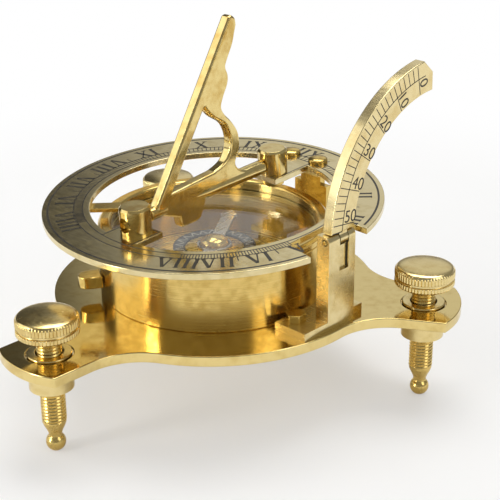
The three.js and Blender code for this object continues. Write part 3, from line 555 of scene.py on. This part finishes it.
def legPart(node, foot, turn, s):
    # the rod's radius follows its profile, cut by a sawtooth that climbs one pitch a turn
    low, high = corners(node)
    middle = low[2] + math.sqrt(s["ball"] ** 2 - s["ballFlat"] ** 2)
    ball = arcPoints((0, middle), s["ball"], -math.acos(s["ballFlat"] / s["ball"]),
                     math.acos(s["neck"] / s["ball"]), s["curveSteps"])
    neckTop = ball[-1, 1] + s["neckRise"]
    slope = np.linspace(0, 1, s["curveSteps"])
    ease = slope * slope * (3 - 2 * slope)
    shoulder = np.column_stack([s["neck"] + (s["thread"] - s["neck"]) * ease, neckTop + s["taper"] * slope])
    threadLow = neckTop + s["taper"]
    rows = int((high[2] - threadLow) / s["pitch"] * s["rowsPerPitch"])
    rod = np.column_stack([np.full(rows, s["thread"]), np.linspace(threadLow, high[2], rows)])
    profile = np.concatenate([[[0, low[2]]], ball, shoulder, rod[1:], [[0, high[2]]]])

    def thread(angle, height):
        cycle = (height / s["pitch"] - angle / (2 * math.pi) + turn) % 1
        fade = np.clip((height - threadLow + s["threadFade"]) / s["threadFade"], 0, 1)
        return -s["threadDepth"] * np.abs(2 * cycle - 1) * fade
    return turned(profile, s["rodSides"], foot, thread)


def knobPart(node, foot, s):
    # two knurled bands: the radius dips by a rounded tooth wave, between groove and edges
    low, radius = corners(node)[0][2], s["knobRadius"]
    grooveLow, inner = low + s["band"], radius - s["grooveDepth"]
    grooveHigh = grooveLow + s["groove"]
    bandTop = grooveHigh + s["band"]
    boreTop = bandTop - s["roof"]
    crown = np.linspace(0, math.pi / 2, s["domeSteps"])
    dome = np.column_stack([(radius - s["edge"]) * np.cos(crown), bandTop + s["dome"] * np.sin(crown)])
    dome[-1, 0] = 0
    side = softCorners([
        [s["bore"], low], [radius - s["underSetback"], low], [radius, low + s["underRise"]],
        [radius, grooveLow], [inner, grooveLow], [inner, grooveHigh], [radius, grooveHigh],
        [radius, bandTop - s["edge"]], dome[0]], s["soft"], s["softSteps"])
    profile = np.concatenate([[[0, boreTop], [s["bore"], boreTop]], side, dome[1:]])

    def knurl(angle, height):
        rise, fall = height - low - s["knurlStart"], bandTop - s["knurlEnd"] - height
        onBand = np.clip(rise / s["knurlFade"], 0, 1) * np.clip(fall / s["knurlFade"], 0, 1)
        slack = s["grooveSlack"]
        inGroove = (height > grooveLow - slack) & (height < grooveHigh + slack)
        tooth = np.abs(np.sin(angle * s["knurls"] / 2)) ** s["knurlPower"]
        return -s["knurlDepth"] * (1 - tooth) * onBand * np.where(inGroove, 0, 1)
    return turned(profile, s["knurls"] * s["knurlSides"], foot, knurl)


for k, way in enumerate(footWays):
    bush, leg, knob = (f"foot_{word}_{k + 1}" for word in ("bush", "screw", "knob"))
    foot = way * plateSet["footCircle"]
    putMesh(f"legBush{k + 1}", [bushPart(bush, foot, footSet)], knobBrass, "base", [bush])
    putMesh(f"threadedLeg{k + 1}", [legPart(leg, foot, k / 3, footSet)], threadBrass, f"leg_{k + 1}",
            [leg], footSet["rodSmooth"])
    putMesh(f"knurledKnob{k + 1}", [knobPart(knob, foot, footSet)], knobBrass, f"knob_{k + 1}",
            [knob], footSet["knobSmooth"])
print("base and feet made")


# Compass bowl, bezel and glass

bowlSet = dict(wall=4.2, floor=2.5, seat=1.9, edge=0.35, sides=256, bezelSetback=0.3, bezelChamfer=0.9,
               bezelInner=0.6, soft=0.3, glassSides=192)
bowlLow, bowlHigh = corners("compass_bowl")
bowlRadius, bowlTop = bowlHigh[0], bowlHigh[2]
bowlBore = bowlRadius - bowlSet["wall"]
glassLow, glassHigh = corners("cover_glass")


def bowlPieces(s):
    # profiles: floor, wall and the step under the glass; a ring chamfered outside and inside; a plain disc
    floorTop, seatRadius = bowlLow[2] + s["floor"], bowlBore + s["seat"]
    top, bore = corners("bezel_ring")[1][2], bowlBore + s["bezelSetback"]
    outside, inside = s["bezelChamfer"], s["bezelInner"]
    glassRadius, low, high = glassHigh[0], glassLow[2], glassHigh[2]
    return [
        ("compassBowl", "compass_bowl", bowlBrass, "polished_brass", s["sides"], s["edge"],
         [[0, bowlLow[2]], [bowlRadius, bowlLow[2]], [bowlRadius, bowlTop], [seatRadius, bowlTop],
          [seatRadius, low], [bowlBore, low], [bowlBore, floorTop], [0, floorTop]]),
        ("bezelRing", "bezel_ring", bowlBrass, "polished_brass", s["sides"], s["soft"],
         [[bore, bowlTop], [bowlRadius, bowlTop], [bowlRadius, top - outside], [bowlRadius - outside, top],
          [bore + inside, top], [bore, top - inside], [bore, bowlTop]]),
        ("coverGlass", "cover_glass", coverGlassFinish, "cover_glass", s["glassSides"], s["soft"],
         [[0, low], [glassRadius, low], [glassRadius, high], [0, high]])]


for name, node, finish, slot, sides, soft, profile in bowlPieces(bowlSet):
    putMesh(name, [turned(softCorners(profile, soft), sides)], finish, "base", [node])


# Copies of frame pieces with merged points, eased edges and smooth rounds

easeSet = dict(smooth=32, segments=3)


def easedCopy(name, node, edge, slot="golden_brass", body="base", finish=fittingBrass):
    # the frame node's own triangles, welded, with a bevel of the given width where faces meet at an angle
    points, triangles = readMesh(frame["nodes"][node].data)
    part = welded([(points / mm, [triangles])])
    piece = putMesh(name, [part], finish, body, [node], easeSet["smooth"])
    bevel = piece.modifiers.new("easedEdges", "BEVEL")
    bevel.width = edge * mm
    bevel.segments = easeSet["segments"]
    bevel.limit_method = "ANGLE"
    bevel.angle_limit = math.radians(easeSet["smooth"])
    bevel.use_clamp_overlap = True
    piece.modifiers.move(1, 0)


# each row: piece, frame node, edge, then slot, body and finish where they differ from the usual ones
easedPieces = [
    ("sideLug", "side_lug", 0.5),
    ("hingeBracket", "ring_hinge_bracket", 0.3, "polished_brass"),
    ("hingeLeaf", "ring_hinge_leaf", 0.2, "polished_brass", "ring"),
    ("hingePin", "ring_hinge_pin", 0.2),
    ("hingeScrewWest", "ring_hinge_screw_1", 0.1, "golden_brass", "ring"),
    ("hingeScrewEast", "ring_hinge_screw_2", 0.1, "golden_brass", "ring"),
    ("bracketScrewWest", "bracket_screw_1", 0.1),
    ("bracketScrewEast", "bracket_screw_2", 0.1),
    ("restStrip", "rest_strip", 0.15, "polished_brass", "ring"),
    ("southPost", "south_post", 0.15, "polished_brass", "ring", castBrass),
    ("northPost", "north_post", 0.15, "polished_brass", "ring", castBrass),
    ("northPostNut", "north_post_nut", 0.2, "golden_brass", "ring"),
    ("gnomonPinSouth", "gnomon_pin_south", 0.2, "golden_brass", "ring"),
    ("gnomonPinNorth", "gnomon_pin_north", 0.2, "golden_brass", "ring"),
    ("arcStemScrewSouth", "arc_stem_screw_1", 0.1),
    ("arcStemScrewNorth", "arc_stem_screw_2", 0.1),
    ("arcHingePin", "arc_hinge_pin", 0.2),
    ("arcStem", "arc_stem", 0.25, "pale_brass", "base", arcBrass),
    *((f"bowlScrew{k}", f"bowl_screw_{k}", 0.2, "polished_brass") for k in (1, 2, 3)),
    ("rosePlate", "rose_plate", 0.08, "golden_brass", "base", dialBrass),
    ("pivotPost", "pivot_post", 0.1, "polished_brass"),
    ("compassNeedle", "compass_needle", 0.1, "pale_brass", "needle", needleSteel),
    ("needleCap", "needle_cap", 0.1, "golden_brass", "needle"),
    ("cardRing", "card_ring", 0.08, "card_enamel", "needle", cardEnamel),
]
for row in easedPieces:
    easedCopy(*row)
print("bowl and fittings made")


# Hour ring

ringSet = dict(radius=50.0, bore=36.2, under=2.4, top=4.2, edge=0.2, outerSteps=240, boreSteps=120,
               notchInner=38.6, notchSouth=-9.5, notchFlare=2.5, notchOver=1.0, notchNorth=11.3,
               southHalf=6.3, southEnd=-25.9, northHalf=5.2, northEnd=21.2)


def ringOutlines(s):
    # outer circle broken by the notch in the east, whose south side flares; round bore broken by the two tabs
    slope = -s["notchFlare"] / (s["radius"] + s["notchOver"] - s["notchInner"])
    edgeSouth = math.asin((s["notchSouth"] + slope * (s["radius"] - s["notchInner"])) / s["radius"])
    edgeNorth = math.asin(s["notchNorth"] / s["radius"])
    outer = np.concatenate([
        arcPoints((0, 0), s["radius"], edgeNorth, 2 * math.pi + edgeSouth, s["outerSteps"]),
        [[s["notchInner"], s["notchSouth"]], [s["notchInner"], s["notchNorth"]]]])
    quarter = math.pi / 2
    leanSouth, leanNorth = (math.asin(s[half] / s["bore"]) for half in ("southHalf", "northHalf"))
    inner = np.concatenate([
        arcPoints((0, 0), s["bore"], leanSouth - quarter, quarter - leanNorth, s["boreSteps"]),
        [[s["northHalf"], s["northEnd"]], [-s["northHalf"], s["northEnd"]]],
        arcPoints((0, 0), s["bore"], quarter + leanNorth, 3 * quarter - leanSouth, s["boreSteps"]),
        [[-s["southHalf"], s["southEnd"]], [s["southHalf"], s["southEnd"]]]])
    return outer, inner


ringOuter, ringInner = ringOutlines(ringSet)
ringPlate = roundedPlate(ringOuter, [ringInner], ringSet["under"], ringSet["top"], ringSet["edge"])
putMesh("hourRing", [onRing(ringPlate)], ringBrass, "ring", ["hour_ring"])


# Engraving: strokes as thin flush bars filled with wax

def bars(strokes, low, high):
    # prisms on four-cornered strokes: bottom and top corners, joined by six faces each
    quads = np.concatenate(strokes)
    span = np.roll(quads, -1, axis=1)
    area = np.sum(quads[:, :, 0] * span[:, :, 1] - span[:, :, 0] * quads[:, :, 1], axis=1)
    quads = np.where((area > 0)[:, None, None], quads, quads[:, ::-1])
    count = len(quads)
    points = np.concatenate([
        np.concatenate([quads, np.full((count, 4, 1), low)], -1),
        np.concatenate([quads, np.full((count, 4, 1), high)], -1)], 1).reshape(-1, 3)
    block = np.array([[3, 2, 1, 0], [4, 5, 6, 7], [0, 1, 5, 4], [1, 2, 6, 5], [2, 3, 7, 6], [3, 0, 4, 7]])
    faces = (block[None] + 8 * np.arange(count)[:, None, None]).reshape(-1, 4)
    return points, [faces]


def stroke(start, end, width):
    # a straight stroke between two points, or arrays of them, as a four-cornered outline
    start, end = np.atleast_2d(np.asarray(start, float)), np.atleast_2d(np.asarray(end, float))
    side = leftOf(end - start) * width / 2
    return np.stack([start + side, start - side, end - side, end + side], 1)


def hoop(radius, width, start, end, low, high, steps):
    # a rectangle carried along an arc, closed at both ends
    angle = np.linspace(start, end, steps + 1)
    section = np.array([[-width / 2, low], [width / 2, low], [width / 2, high], [-width / 2, high]])
    reach = radius + section[:, :1]
    points = np.stack([reach * np.cos(angle), reach * np.sin(angle),
                       np.broadcast_to(section[:, 1:], (4, steps + 1))], -1).reshape(-1, 3)
    faces = gridFaces(4, steps + 1, closedRows=True, closedColumns=False)
    n = steps + 1
    ends = np.array([[0, n, 2 * n, 3 * n], [4 * n - 1, 3 * n - 1, 2 * n - 1, n - 1]])
    return points, [faces[:, ::-1], ends]


numeralSet = dict(height=5.2, middle=43.6, thick=0.95, thin=0.44, serif=0.34, gap=0.16, depth=0.03)
# each letter in shares of its height: width, strokes from point to point, serifs at its head and at its foot
letterShapes = {
    "I": (0.30, [((0.15, 0), (0.15, 1), "thick")], [(0.02, 0.28)], [(0.02, 0.28)]),
    "V": (0.78, [((0.12, 1), (0.39, 0), "thick"), ((0.66, 1), (0.42, 0), "thin")],
          [(0, 0.3), (0.52, 0.78)], []),
    "X": (0.78, [((0.12, 1), (0.66, 0), "thick"), ((0.66, 1), (0.12, 0), "thin")],
          [(0, 0.28), (0.52, 0.78)], [(0, 0.28), (0.52, 0.78)])}


def numeralStrokes(word, s):
    # upright numeral of straight strokes with serifs, centred, as four-cornered outlines
    size, quads, x = s["height"], [], 0.0
    for letter in word:
        width, lines, heads, feet = letterShapes[letter]
        serifs = [((a, y), (b, y), "serif") for spans, y in ((heads, 1), (feet, 0)) for a, b in spans]
        quads += [stroke(np.array(start) * size + [x, 0], np.array(end) * size + [x, 0], s[weight])
                  for start, end, weight in lines + serifs]
        x += (width + s["gap"]) * size
    return np.concatenate(quads) - np.array([x - s["gap"] * size, size]) / 2


dialSet = dict(ladderIn=38.2, ladderOut=40.8, lineWidth=0.3, rim=48.3, rimWidth=0.6, hoopSteps=240,
               ticksPerHour=12, tickWidth=0.26, halfHour=2.6, borderInset=0.7,
               words="IIII V VI VII VIII IX X XI XII I II III IIII V VI VII VIII".split(), first=-8,
               bearings=(-155.0, -145.5, -131.2, -113.1, -94.1, -74.6, -50.6, -27.4, -2.0,
                         24.0, 49.2, 71.9, 88.0, 103.2, 118.4, 133.0, 147.1),
               notch=(72.5, 102.5), rimEnds=(15.5, 346.0), ladderEnds=(19.0, 344.5))


def hourBearing(hours, s):
    # bearings of the whole hours as engraved, eight before noon to eight after, and straight between them
    return np.radians(np.interp(hours, s["first"] + np.arange(len(s["words"])), s["bearings"]))


def radial(bearing, radius):
    # east and north of a point at a bearing from north
    return np.stack([radius * np.sin(bearing), radius * np.cos(bearing)], -1)


def rays(bearing, start, end, width):
    # strokes along bearings, from one radius to another
    return stroke(radial(bearing, start), radial(bearing, end), width)


def clearOfNotch(bearing, s):
    # the notch takes the dial's edge between these bearings
    north, south = np.radians(s["notch"])
    return (bearing < north) | (bearing > south)


def dialMarks(s, n):
    # numerals with their heads inward, ticks, half-hour strokes, borders of the tabs, and round lines
    low, high = ringSet["top"] - n["depth"], ringSet["top"] + n["depth"]
    parts = []
    for hour, word in enumerate(s["words"], s["first"]):
        bearing = float(hourBearing(hour, s))
        if clearOfNotch(bearing, s):
            inward = -radial(bearing, 1.0)
            right = np.array([inward[1], -inward[0]])
            quads = numeralStrokes(word, n)
            flat = quads[..., :1] * right + quads[..., 1:] * inward + radial(bearing, n["middle"])
            parts.append(bars([flat], low, high))
    spans = len(s["words"]) - 1
    ticks = s["first"] + np.arange(spans * s["ticksPerHour"] + 1) / s["ticksPerHour"]
    halves = s["first"] + np.arange(spans) + 0.5
    for hours, start, end, width in (
            (ticks, s["ladderIn"], s["ladderOut"], s["tickWidth"]),
            (halves, s["ladderOut"], s["ladderOut"] + s["halfHour"], s["lineWidth"])):
        bearing = hourBearing(hours, s)
        bearing = bearing[clearOfNotch(bearing, s)]
        parts.append(bars([rays(bearing, start, end, width)], low, high))
    for tab, way in (("south", -1), ("north", 1)):
        side, root = ringSet[tab + "Half"] - s["borderInset"], way * (s["ladderIn"] - s["lineWidth"])
        corner = ringSet[tab + "End"] + way * s["borderInset"]
        lines = [((side, root), (side, corner)), ((-side, root), (-side, corner)),
                 ((-side, corner), (side, corner))]
        parts.append(bars([stroke(*line, s["lineWidth"]) for line in lines], low, high))
    # lines run from north of the notch round the west to south of it; angles count from east
    for radius, width, ends in ((s["rim"], s["rimWidth"], s["rimEnds"]),
                                (s["ladderOut"], s["lineWidth"], s["ladderEnds"]),
                                (s["ladderIn"], s["lineWidth"], (0.0, 360.0))):
        parts.append(hoop(radius, width, *np.radians(ends), low, high, s["hoopSteps"]))
    return parts


hourMarks = [onRing(part) for part in dialMarks(dialSet, numeralSet)]
putMesh("hourMarks", hourMarks, engravingWaxAndPaintedShade, "ring")
print("hour ring made")


# Gnomon

gnomonSet = dict(axis=3.1, thickness=3.4, bar=2.2, barSouth=-25.2, barNorth=20.8, setback=2.3, run=31.7,
                 rise=47.5, width=3.6, heelSetback=10.3, heelEnd=4.0, edge=0.75, edgeSteps=5, ledge=2.1,
                 tip=[(0.6, 0), (-0.3, 0.9), (-0.1, 2.6), (1.3, 3.9)], tipSteps=6, curveSteps=8, smooth=50,
                 throat=[(3.6, 4.5), (6.8, 5.3), (11.9, 5.6), (13.5, 6.2), (15.0, 8.1), (17.3, 9.2),
                         (21.2, 9.5), (24.0, 10.2), (25.4, 12.4), (26.4, 16.2)],
                 scroll=[(-0.6, 12.9), (0, 9.3), (-0.6, 6.3), (-2.0, 3.6), (-1.1, 1.4), (1.2, 0), (4, -0.8)],
                 lobe=[(18.6, 0.9), (17.5, -1.6), (16.4, -3.7), (15.2, -4.3), (9, -4.3), (8.4, -3.7),
                       (8, -0.9)], lobeRound=0.7, footRise=2.6,
                 belly=[(-10.8, 3.2), (-6.6, 4.7), (-4.3, 7.4), (-3.7, 10.4), (-4.3, 13.6)],
                 crook=[(28.1, 13.5), (27.8, 8.6), (27.0, 5.4), (26.3, 3.9)],
                 boss=1.9, bossEnd=-19.2, barStart=-8.9, barThin=1.6, barFull=-3.0, rodRound=0.5, rodSides=64)


def gnomonOutlines(s):
    # the style is a straight bar: tip, throat and crook lie down it and across it, scroll and belly by its
    # heel, and the lobe by its foot
    barTop = s["axis"] + s["bar"]
    foot = np.array([s["barSouth"] + s["setback"], barTop])
    tip = foot + [s["run"], s["rise"]]
    along = (tip - foot) / np.linalg.norm(tip - foot)
    across = np.array([along[1], -along[0]])
    heel = np.array([s["barNorth"] - s["heelSetback"], barTop])

    def onStyle(name):
        return [tip - along * down + across * side for down, side in s[name]]

    def byHeel(name):
        return [heel + point for point in s[name]]
    tipKnots, crook = onStyle("tip"), onStyle("crook")
    lobe = [np.array([foot[0] + north, height]) for north, height in s["lobe"]]
    back = splinePoints([tipKnots[-1], *onStyle("throat"), *byHeel("scroll")], s["curveSteps"])
    outline = np.concatenate([
        [foot], splinePoints(tipKnots, s["tipSteps"]), back[1:], [heel + [s["heelEnd"], -s["bar"]]],
        [[lobe[0][0], s["axis"]]], softCorners(lobe, s["lobeRound"]), [[foot[0], s["footRise"]]]])
    ledge, top = barTop + s["ledge"], crook[-1][1]
    innerAt = [foot[0] + ((z - barTop) * along[0] + s["width"]) / along[1] for z in (ledge, top)]
    opening = np.concatenate([
        [[innerAt[0], ledge]], splinePoints([*byHeel("belly"), *crook], s["curveSteps"]),
        [[innerAt[1], top]]])
    return outline, opening


def gnomonParts(s):
    # the casting's plate, a short boss by the south post, and a bar that swells out towards the north post
    outline, opening = gnomonOutlines(s)
    half = s["thickness"] / 2
    plate = upright(roundedPlate(outline, [opening], -half, half, s["edge"], s["edgeSteps"]))
    boss = [[0, s["barSouth"]], [s["boss"], s["barSouth"]], [s["boss"], s["bossEnd"]], [0, s["bossEnd"]]]
    bar = [[0, s["barStart"]], [s["barThin"], s["barStart"]], [s["bar"], s["barFull"]],
           [s["bar"], s["barNorth"]], [0, s["barNorth"]]]
    rods = [alongNorth(turned(softCorners(line, s["rodRound"]), s["rodSides"])) for line in (boss, bar)]
    return [plate, *(moved(rod, (0, 0, s["axis"])) for rod in rods)]


lift = (0, 0, ringSet["top"])
putMesh("gnomonCasting", [onRing(moved(part, lift)) for part in gnomonParts(gnomonSet)], castBrass,
        "gnomon", ["gnomon"], gnomonSet["smooth"])


# Latitude arc

arcSet = dict(inner=34.6, outer=44.0, seat=2.9, end=88.0, clip=4.0, west=42.2, east=45.6, edge=0.3, steps=60,
              fold=(44.45, 29.1), knuckle=1.7, knuckleSides=48, tongue=(3.3, 6.5), tongueRoot=2.0,
              tongueSetback=0.06, slotNorth=(6.74, 6.79), slotEast=(45.25, 45.7), slotHeight=(20.1, 29.0))


def arcOutline(s):
    # a flat sector about the ring's hinge axis with a level foot, its upper outer corner clipped
    centre = hingeAt[1:]
    end = math.pi - math.radians(s["end"])
    inner, outer = (math.pi - math.asin(s["seat"] / s[edge]) for edge in ("inner", "outer"))
    return np.concatenate([
        arcPoints(centre, s["inner"], inner, end, s["steps"]),
        arcPoints(centre, s["outer"] - s["clip"], end, end, 1)[:1],
        arcPoints(centre, s["outer"], end + s["clip"] / s["outer"], outer, s["steps"])])


def uprightBox(north, height, east):
    # a block given by its two norths, its two heights and its two easts
    (south, north), (low, high) = north, height
    return upright(bars([[[(south, low), (north, low), (north, high), (south, high)]]], *east))


def arcTongue(s):
    # a block from the arc's foot down to the fold axis, with a round knuckle about that axis
    (east, height), (south, north) = s["fold"], s["tongue"]
    block = uprightBox(s["tongue"], (height, hingeAt[2] + s["seat"] + s["tongueRoot"]),
                       (east - s["knuckle"], s["east"] - s["tongueSetback"]))
    barrel = turned([[0, south], [s["knuckle"], south], [s["knuckle"], north], [0, north]], s["knuckleSides"])
    return [block, moved(alongNorth(barrel), (east, 0, height))]


arcPlate = upright(roundedPlate(arcOutline(arcSet), [], arcSet["west"], arcSet["east"], arcSet["edge"]))
putMesh("latitudeArc", [arcPlate, *arcTongue(arcSet)], arcBrass, "arc", ["latitude_arc"])
# a thin dark sheet on the north wall of the stem's slot: painted shade where that wall lies in shadow
slotWall = uprightBox(arcSet["slotNorth"], arcSet["slotHeight"], arcSet["slotEast"])
putMesh("slotShade", [slotWall], engravingWaxAndPaintedShade, "base")

scaleSet = dict(line=39.7, tickEnd=43.5, tenStart=35.1, width=0.26, depth=0.03, first=78.5, step=14.3, tens=6,
                perTen=5, ticks=27, over=4.5, short=0.007, lineSteps=120, digit=3.6, digitShare=0.72,
                digitIn=0.7, digitRise=0.35)


def onArc(angle, radius):
    # north and height of a point at an angle above the level through the hinge axis
    angle = np.radians(angle)
    return np.stack([hingeAt[1] - radius * np.cos(angle), hingeAt[2] + radius * np.sin(angle)], -1)


def digitPart(word, s):
    # a word of digits as a thin closed mesh, lower left corner at the origin
    curve = bpy.data.curves.new("digits", "FONT")
    curve.body = word
    curve.size = s["digit"] / s["digitShare"]
    curve.extrude = s["depth"]
    holder = bpy.data.objects.new("digits", curve)
    mesh = bpy.data.meshes.new_from_object(holder)
    points, triangles = readMesh(mesh)
    bpy.data.objects.remove(holder)
    bpy.data.curves.remove(curve)
    bpy.data.meshes.remove(mesh)
    points[:, :2] -= points[:, :2].min(0)
    return points, [triangles]


def arcMarks(s):
    # ticks for every two degrees and longer ones for the tens, the line between them, and the tens' digits
    face = arcSet["east"]
    low, high = face - s["depth"], face + s["depth"]
    tens = s["first"] - s["step"] * np.arange(s["tens"])
    fine = s["first"] - s["step"] * np.arange(s["ticks"]) / s["perTen"]
    line, pen = s["line"], s["width"]
    strokes = [stroke(onArc(fine, line), onArc(fine, s["tickEnd"]), pen),
               stroke(onArc(tens, s["tenStart"]), onArc(tens, line), pen)]
    crest, foot = math.radians(s["first"] + s["over"]), math.asin(arcSet["seat"] / line) + s["short"]
    ends = math.pi - crest, math.pi - foot
    curve = hoop(line, pen, *ends, low, high, s["lineSteps"])
    parts = [upright(bars(strokes, low, high)), upright(moved(curve, (hingeAt[1], hingeAt[2], 0)))]
    for k, angle in enumerate(tens):
        points, faces = digitPart(str(10 * k), s)
        sin, cos = math.sin(math.radians(angle)), math.cos(math.radians(angle))
        inward, rising = np.array([cos, -sin]), np.array([sin, cos])
        start = onArc(angle, line - s["digitIn"]) + rising * s["digitRise"]
        flat = points[:, :1] * inward + points[:, 1:2] * rising + start
        parts.append(upright((np.column_stack([flat, points[:, 2] + face]), faces)))
    return parts


putMesh("arcMarks", arcMarks(scaleSet), engravingWaxAndPaintedShade, "arc")
print("gnomon and latitude arc made")


# Card chevrons and the dial on the bowl's floor

cardSet = dict(near=9.4, far=11.8, count=22, width=0.34, spread=0.8, under=0.02, over=0.03)


def chevronMarks(s):
    # separate arrowheads round the card between two radii, each of two strokes that meet outside
    top = corners("card_ring")[1][2]
    angle = np.arange(s["count"]) * 2 * math.pi / s["count"]
    half = s["spread"] * math.pi / s["count"]
    near, far = s["near"], s["far"]
    return bars([stroke(radial(angle - half, near), radial(angle, far), s["width"]),
                 stroke(radial(angle, far), radial(angle + half, near), s["width"])],
                top - s["under"], top + s["over"])


putMesh("cardChevrons", [chevronMarks(cardSet)], chevronPaint, "needle")

roseSet = dict(line=0.16, bandRings=(24.8, 28.4), tick=(27.3, 28.4), tickStep=2.5, longTick=(25.2, 28.4),
               longStep=10, ringSteps=180, long=23.0, short=18.0, points=8, valley=9.5, split=8.0,
               scrolls=36, scrollAt=21.6, scrollSize=0.95, scrollShrink=0.5, scrollTurn=1.6, scrollSteps=9,
               recess=0.28, under=0.02, bandOver=0.02, over=0.03)


def roseMarks(s):
    # degree band with ticks, a pointed star with a split in each point, and a ring of small scrolls
    top = corners("rose_plate")[1][2]
    band = top - s["under"], top + s["bandOver"]
    floor = top - s["recess"] - s["under"], top - s["recess"] + s["over"]
    ticks, long = (np.radians(np.arange(0, 360, s[step])) for step in ("tickStep", "longStep"))
    pen = s["line"]
    parts = [bars([rays(ticks, *s["tick"], pen), rays(long, *s["longTick"], pen)], *band)]
    parts += [hoop(radius, pen, 0, 2 * math.pi, *band, s["ringSteps"]) for radius in s["bandRings"]]
    apart = 2 * math.pi / s["points"]
    points = np.arange(s["points"]) * apart
    reach = np.where(np.arange(s["points"]) % 2 == 0, s["long"], s["short"])
    star = [stroke(radial(points, reach), radial(points + half, s["valley"]), pen)
            for half in (apart / 2, -apart / 2)]
    parts.append(bars([*star, rays(points, s["split"], reach, pen)], *floor))
    turn = np.arange(s["scrolls"]) * 2 * math.pi / s["scrolls"]
    part = np.linspace(0, 1, s["scrollSteps"])
    spiral = radial(s["scrollTurn"] * math.pi * part, s["scrollSize"] * (1 - s["scrollShrink"] * part))
    flip = np.where(np.arange(s["scrolls"]) % 2 == 0, 1, -1)[:, None, None]
    line = (radial(turn, s["scrollAt"])[:, None] + spiral[None, :, 1:] * radial(turn, 1.0)[:, None]
            + flip * spiral[None, :, :1] * radial(turn + math.pi / 2, 1.0)[:, None])
    parts.append(bars([stroke(line[:, :-1].reshape(-1, 2), line[:, 1:].reshape(-1, 2), pen)], *floor))
    return parts


putMesh("roseMarks", roseMarks(roseSet), engravingWaxAndPaintedShade, "base")
print("dial marks made")


# Stage: pale floor, grey room, soft lamps, camera at the photograph's angle

floorSet = dict(radius=3000.0, sides=96, gap=0.02, fade=(110.0, 300.0), haze=0.42,
                tone=(0.93, 0.925, 0.915, 1), rough=0.9)
plainWhite = (1, 1, 1, 1)


def floorFinish(s):
    # matt white near the object, seen through a white haze; further out plain white, also in mirrors
    material, tree, shader, place = newMaterial("studioFloor")
    feed(tree, shader, {"Base Color": s["tone"], "Roughness": s["rough"]})
    reach = vectorOut(tree, "LENGTH", place)["Value"]
    fade = mapped(tree, reach, [end * mm for end in s["fade"]])
    ray = addNode(tree, "LightPath").outputs
    seen = mathOut(tree, "MAXIMUM", ray["Is Camera Ray"], ray["Is Glossy Ray"])
    seen = mathOut(tree, "MAXIMUM", seen, ray["Is Transmission Ray"])
    far = mathOut(tree, "MULTIPLY", fade, seen)
    near = mathOut(tree, "MULTIPLY", ray["Is Camera Ray"], s["haze"])
    white = addNode(tree, "Emission", {"Color": plainWhite, "Strength": 1.0})
    showMix(tree, mathOut(tree, "MAXIMUM", far, near), shader, white)
    return material


def makeFloor(s):
    # one flat round face just under the feet
    disc = circlePoints((0, 0), s["radius"], s["sides"])
    low = corners("foot_screw_1")[0][2] - s["gap"]
    mesh = bpy.data.meshes.new("studioFloor")
    mesh.from_pydata(atHeight(disc, low) * mm, [], [list(range(len(disc)))])
    mesh.materials.append(floorFinish(s))
    floor = bpy.data.objects.new("studioFloor", mesh)
    bpy.context.scene.collection.objects.link(floor)


roomSet = dict(grey=(0.27, 0.27, 0.267, 1),
               window=dict(tone=(0.7, 0.7, 0.69, 1), way=(-0.494, 0.732, 0.470), span=(0.94, 0.99)),
               shade=dict(tone=(0.075, 0.073, 0.068, 1), way=(-0.885, 0.156, 0.438), span=(0.885, 0.93)))


def makeWorld(s):
    # white for the eye; for light and reflections a grey room with one bright and one dark round patch
    world = bpy.data.worlds.new("studio")
    bpy.context.scene.world = world
    world.use_nodes = True
    tree = world.node_tree
    way = addNode(tree, "TexCoord").outputs["Generated"]
    room = s["grey"]
    for patch in (s["window"], s["shade"]):
        near = vectorOut(tree, "DOT_PRODUCT", way, tuple(Vector(patch["way"]).normalized()))["Value"]
        room = mixed(tree, mapped(tree, near, patch["span"]), room, patch["tone"])
    shown = mixed(tree, addNode(tree, "LightPath").outputs["Is Camera Ray"], room, plainWhite)
    feed(tree, tree.nodes["Background"], {"Color": shown, "Strength": 1.0})


def aimed(name, data, place, target, roll=0.0):
    # a lamp or camera at a place, its view axis towards the target, rolled about that axis
    holder = bpy.data.objects.new(name, data)
    place, target = Vector(place) * mm, Vector(target) * mm
    turn = (target - place).to_track_quat("-Z", "Y").to_matrix().to_4x4()
    holder.matrix_world = Matrix.Translation(place) @ turn @ Matrix.Rotation(math.radians(roll), 4, "Z")
    bpy.context.scene.collection.objects.link(holder)
    return holder


# each lamp: its place, its two sizes and its power in watts
lampSet = dict(keySoftbox=((-620, -580, 500), (800, 800), 2.4),
               topSoftbox=((-100, 250, 950), (800, 600), 6.0),
               rightFill=((750, 100, 500), (400, 600), 1.3),
               stripLeft=((-270, -800, 220), (160, 500), 2.6))
lampTarget = (0, 0, 20)
cameraSet = dict(place=(255.3, -247.5, 168.9), target=(9.5, 5.4, 14.5), roll=-0.42)
lensSet = dict(lens=93.6, sensor_width=36.0, clip_start=0.01)


def makeLamp(name, place, size, power):
    # a rectangular soft box aimed at the object
    lamp = bpy.data.lights.new(name, "AREA")
    lamp.shape = "RECTANGLE"
    lamp.size, lamp.size_y = (side * mm for side in size)
    lamp.energy = power
    aimed(name, lamp, place, lampTarget)


def makeCamera():
    # the camera that was fitted to the photograph
    lens = bpy.data.cameras.new("photoView")
    for key, value in lensSet.items():
        setattr(lens, key, value)
    bpy.context.scene.camera = aimed("photoView", lens, **cameraSet)


makeFloor(floorSet)
makeWorld(roomSet)
for name, lamp in lampSet.items():
    makeLamp(name, *lamp)
makeCamera()
bpy.context.scene.view_settings.view_transform = "Standard"
print("stage set")
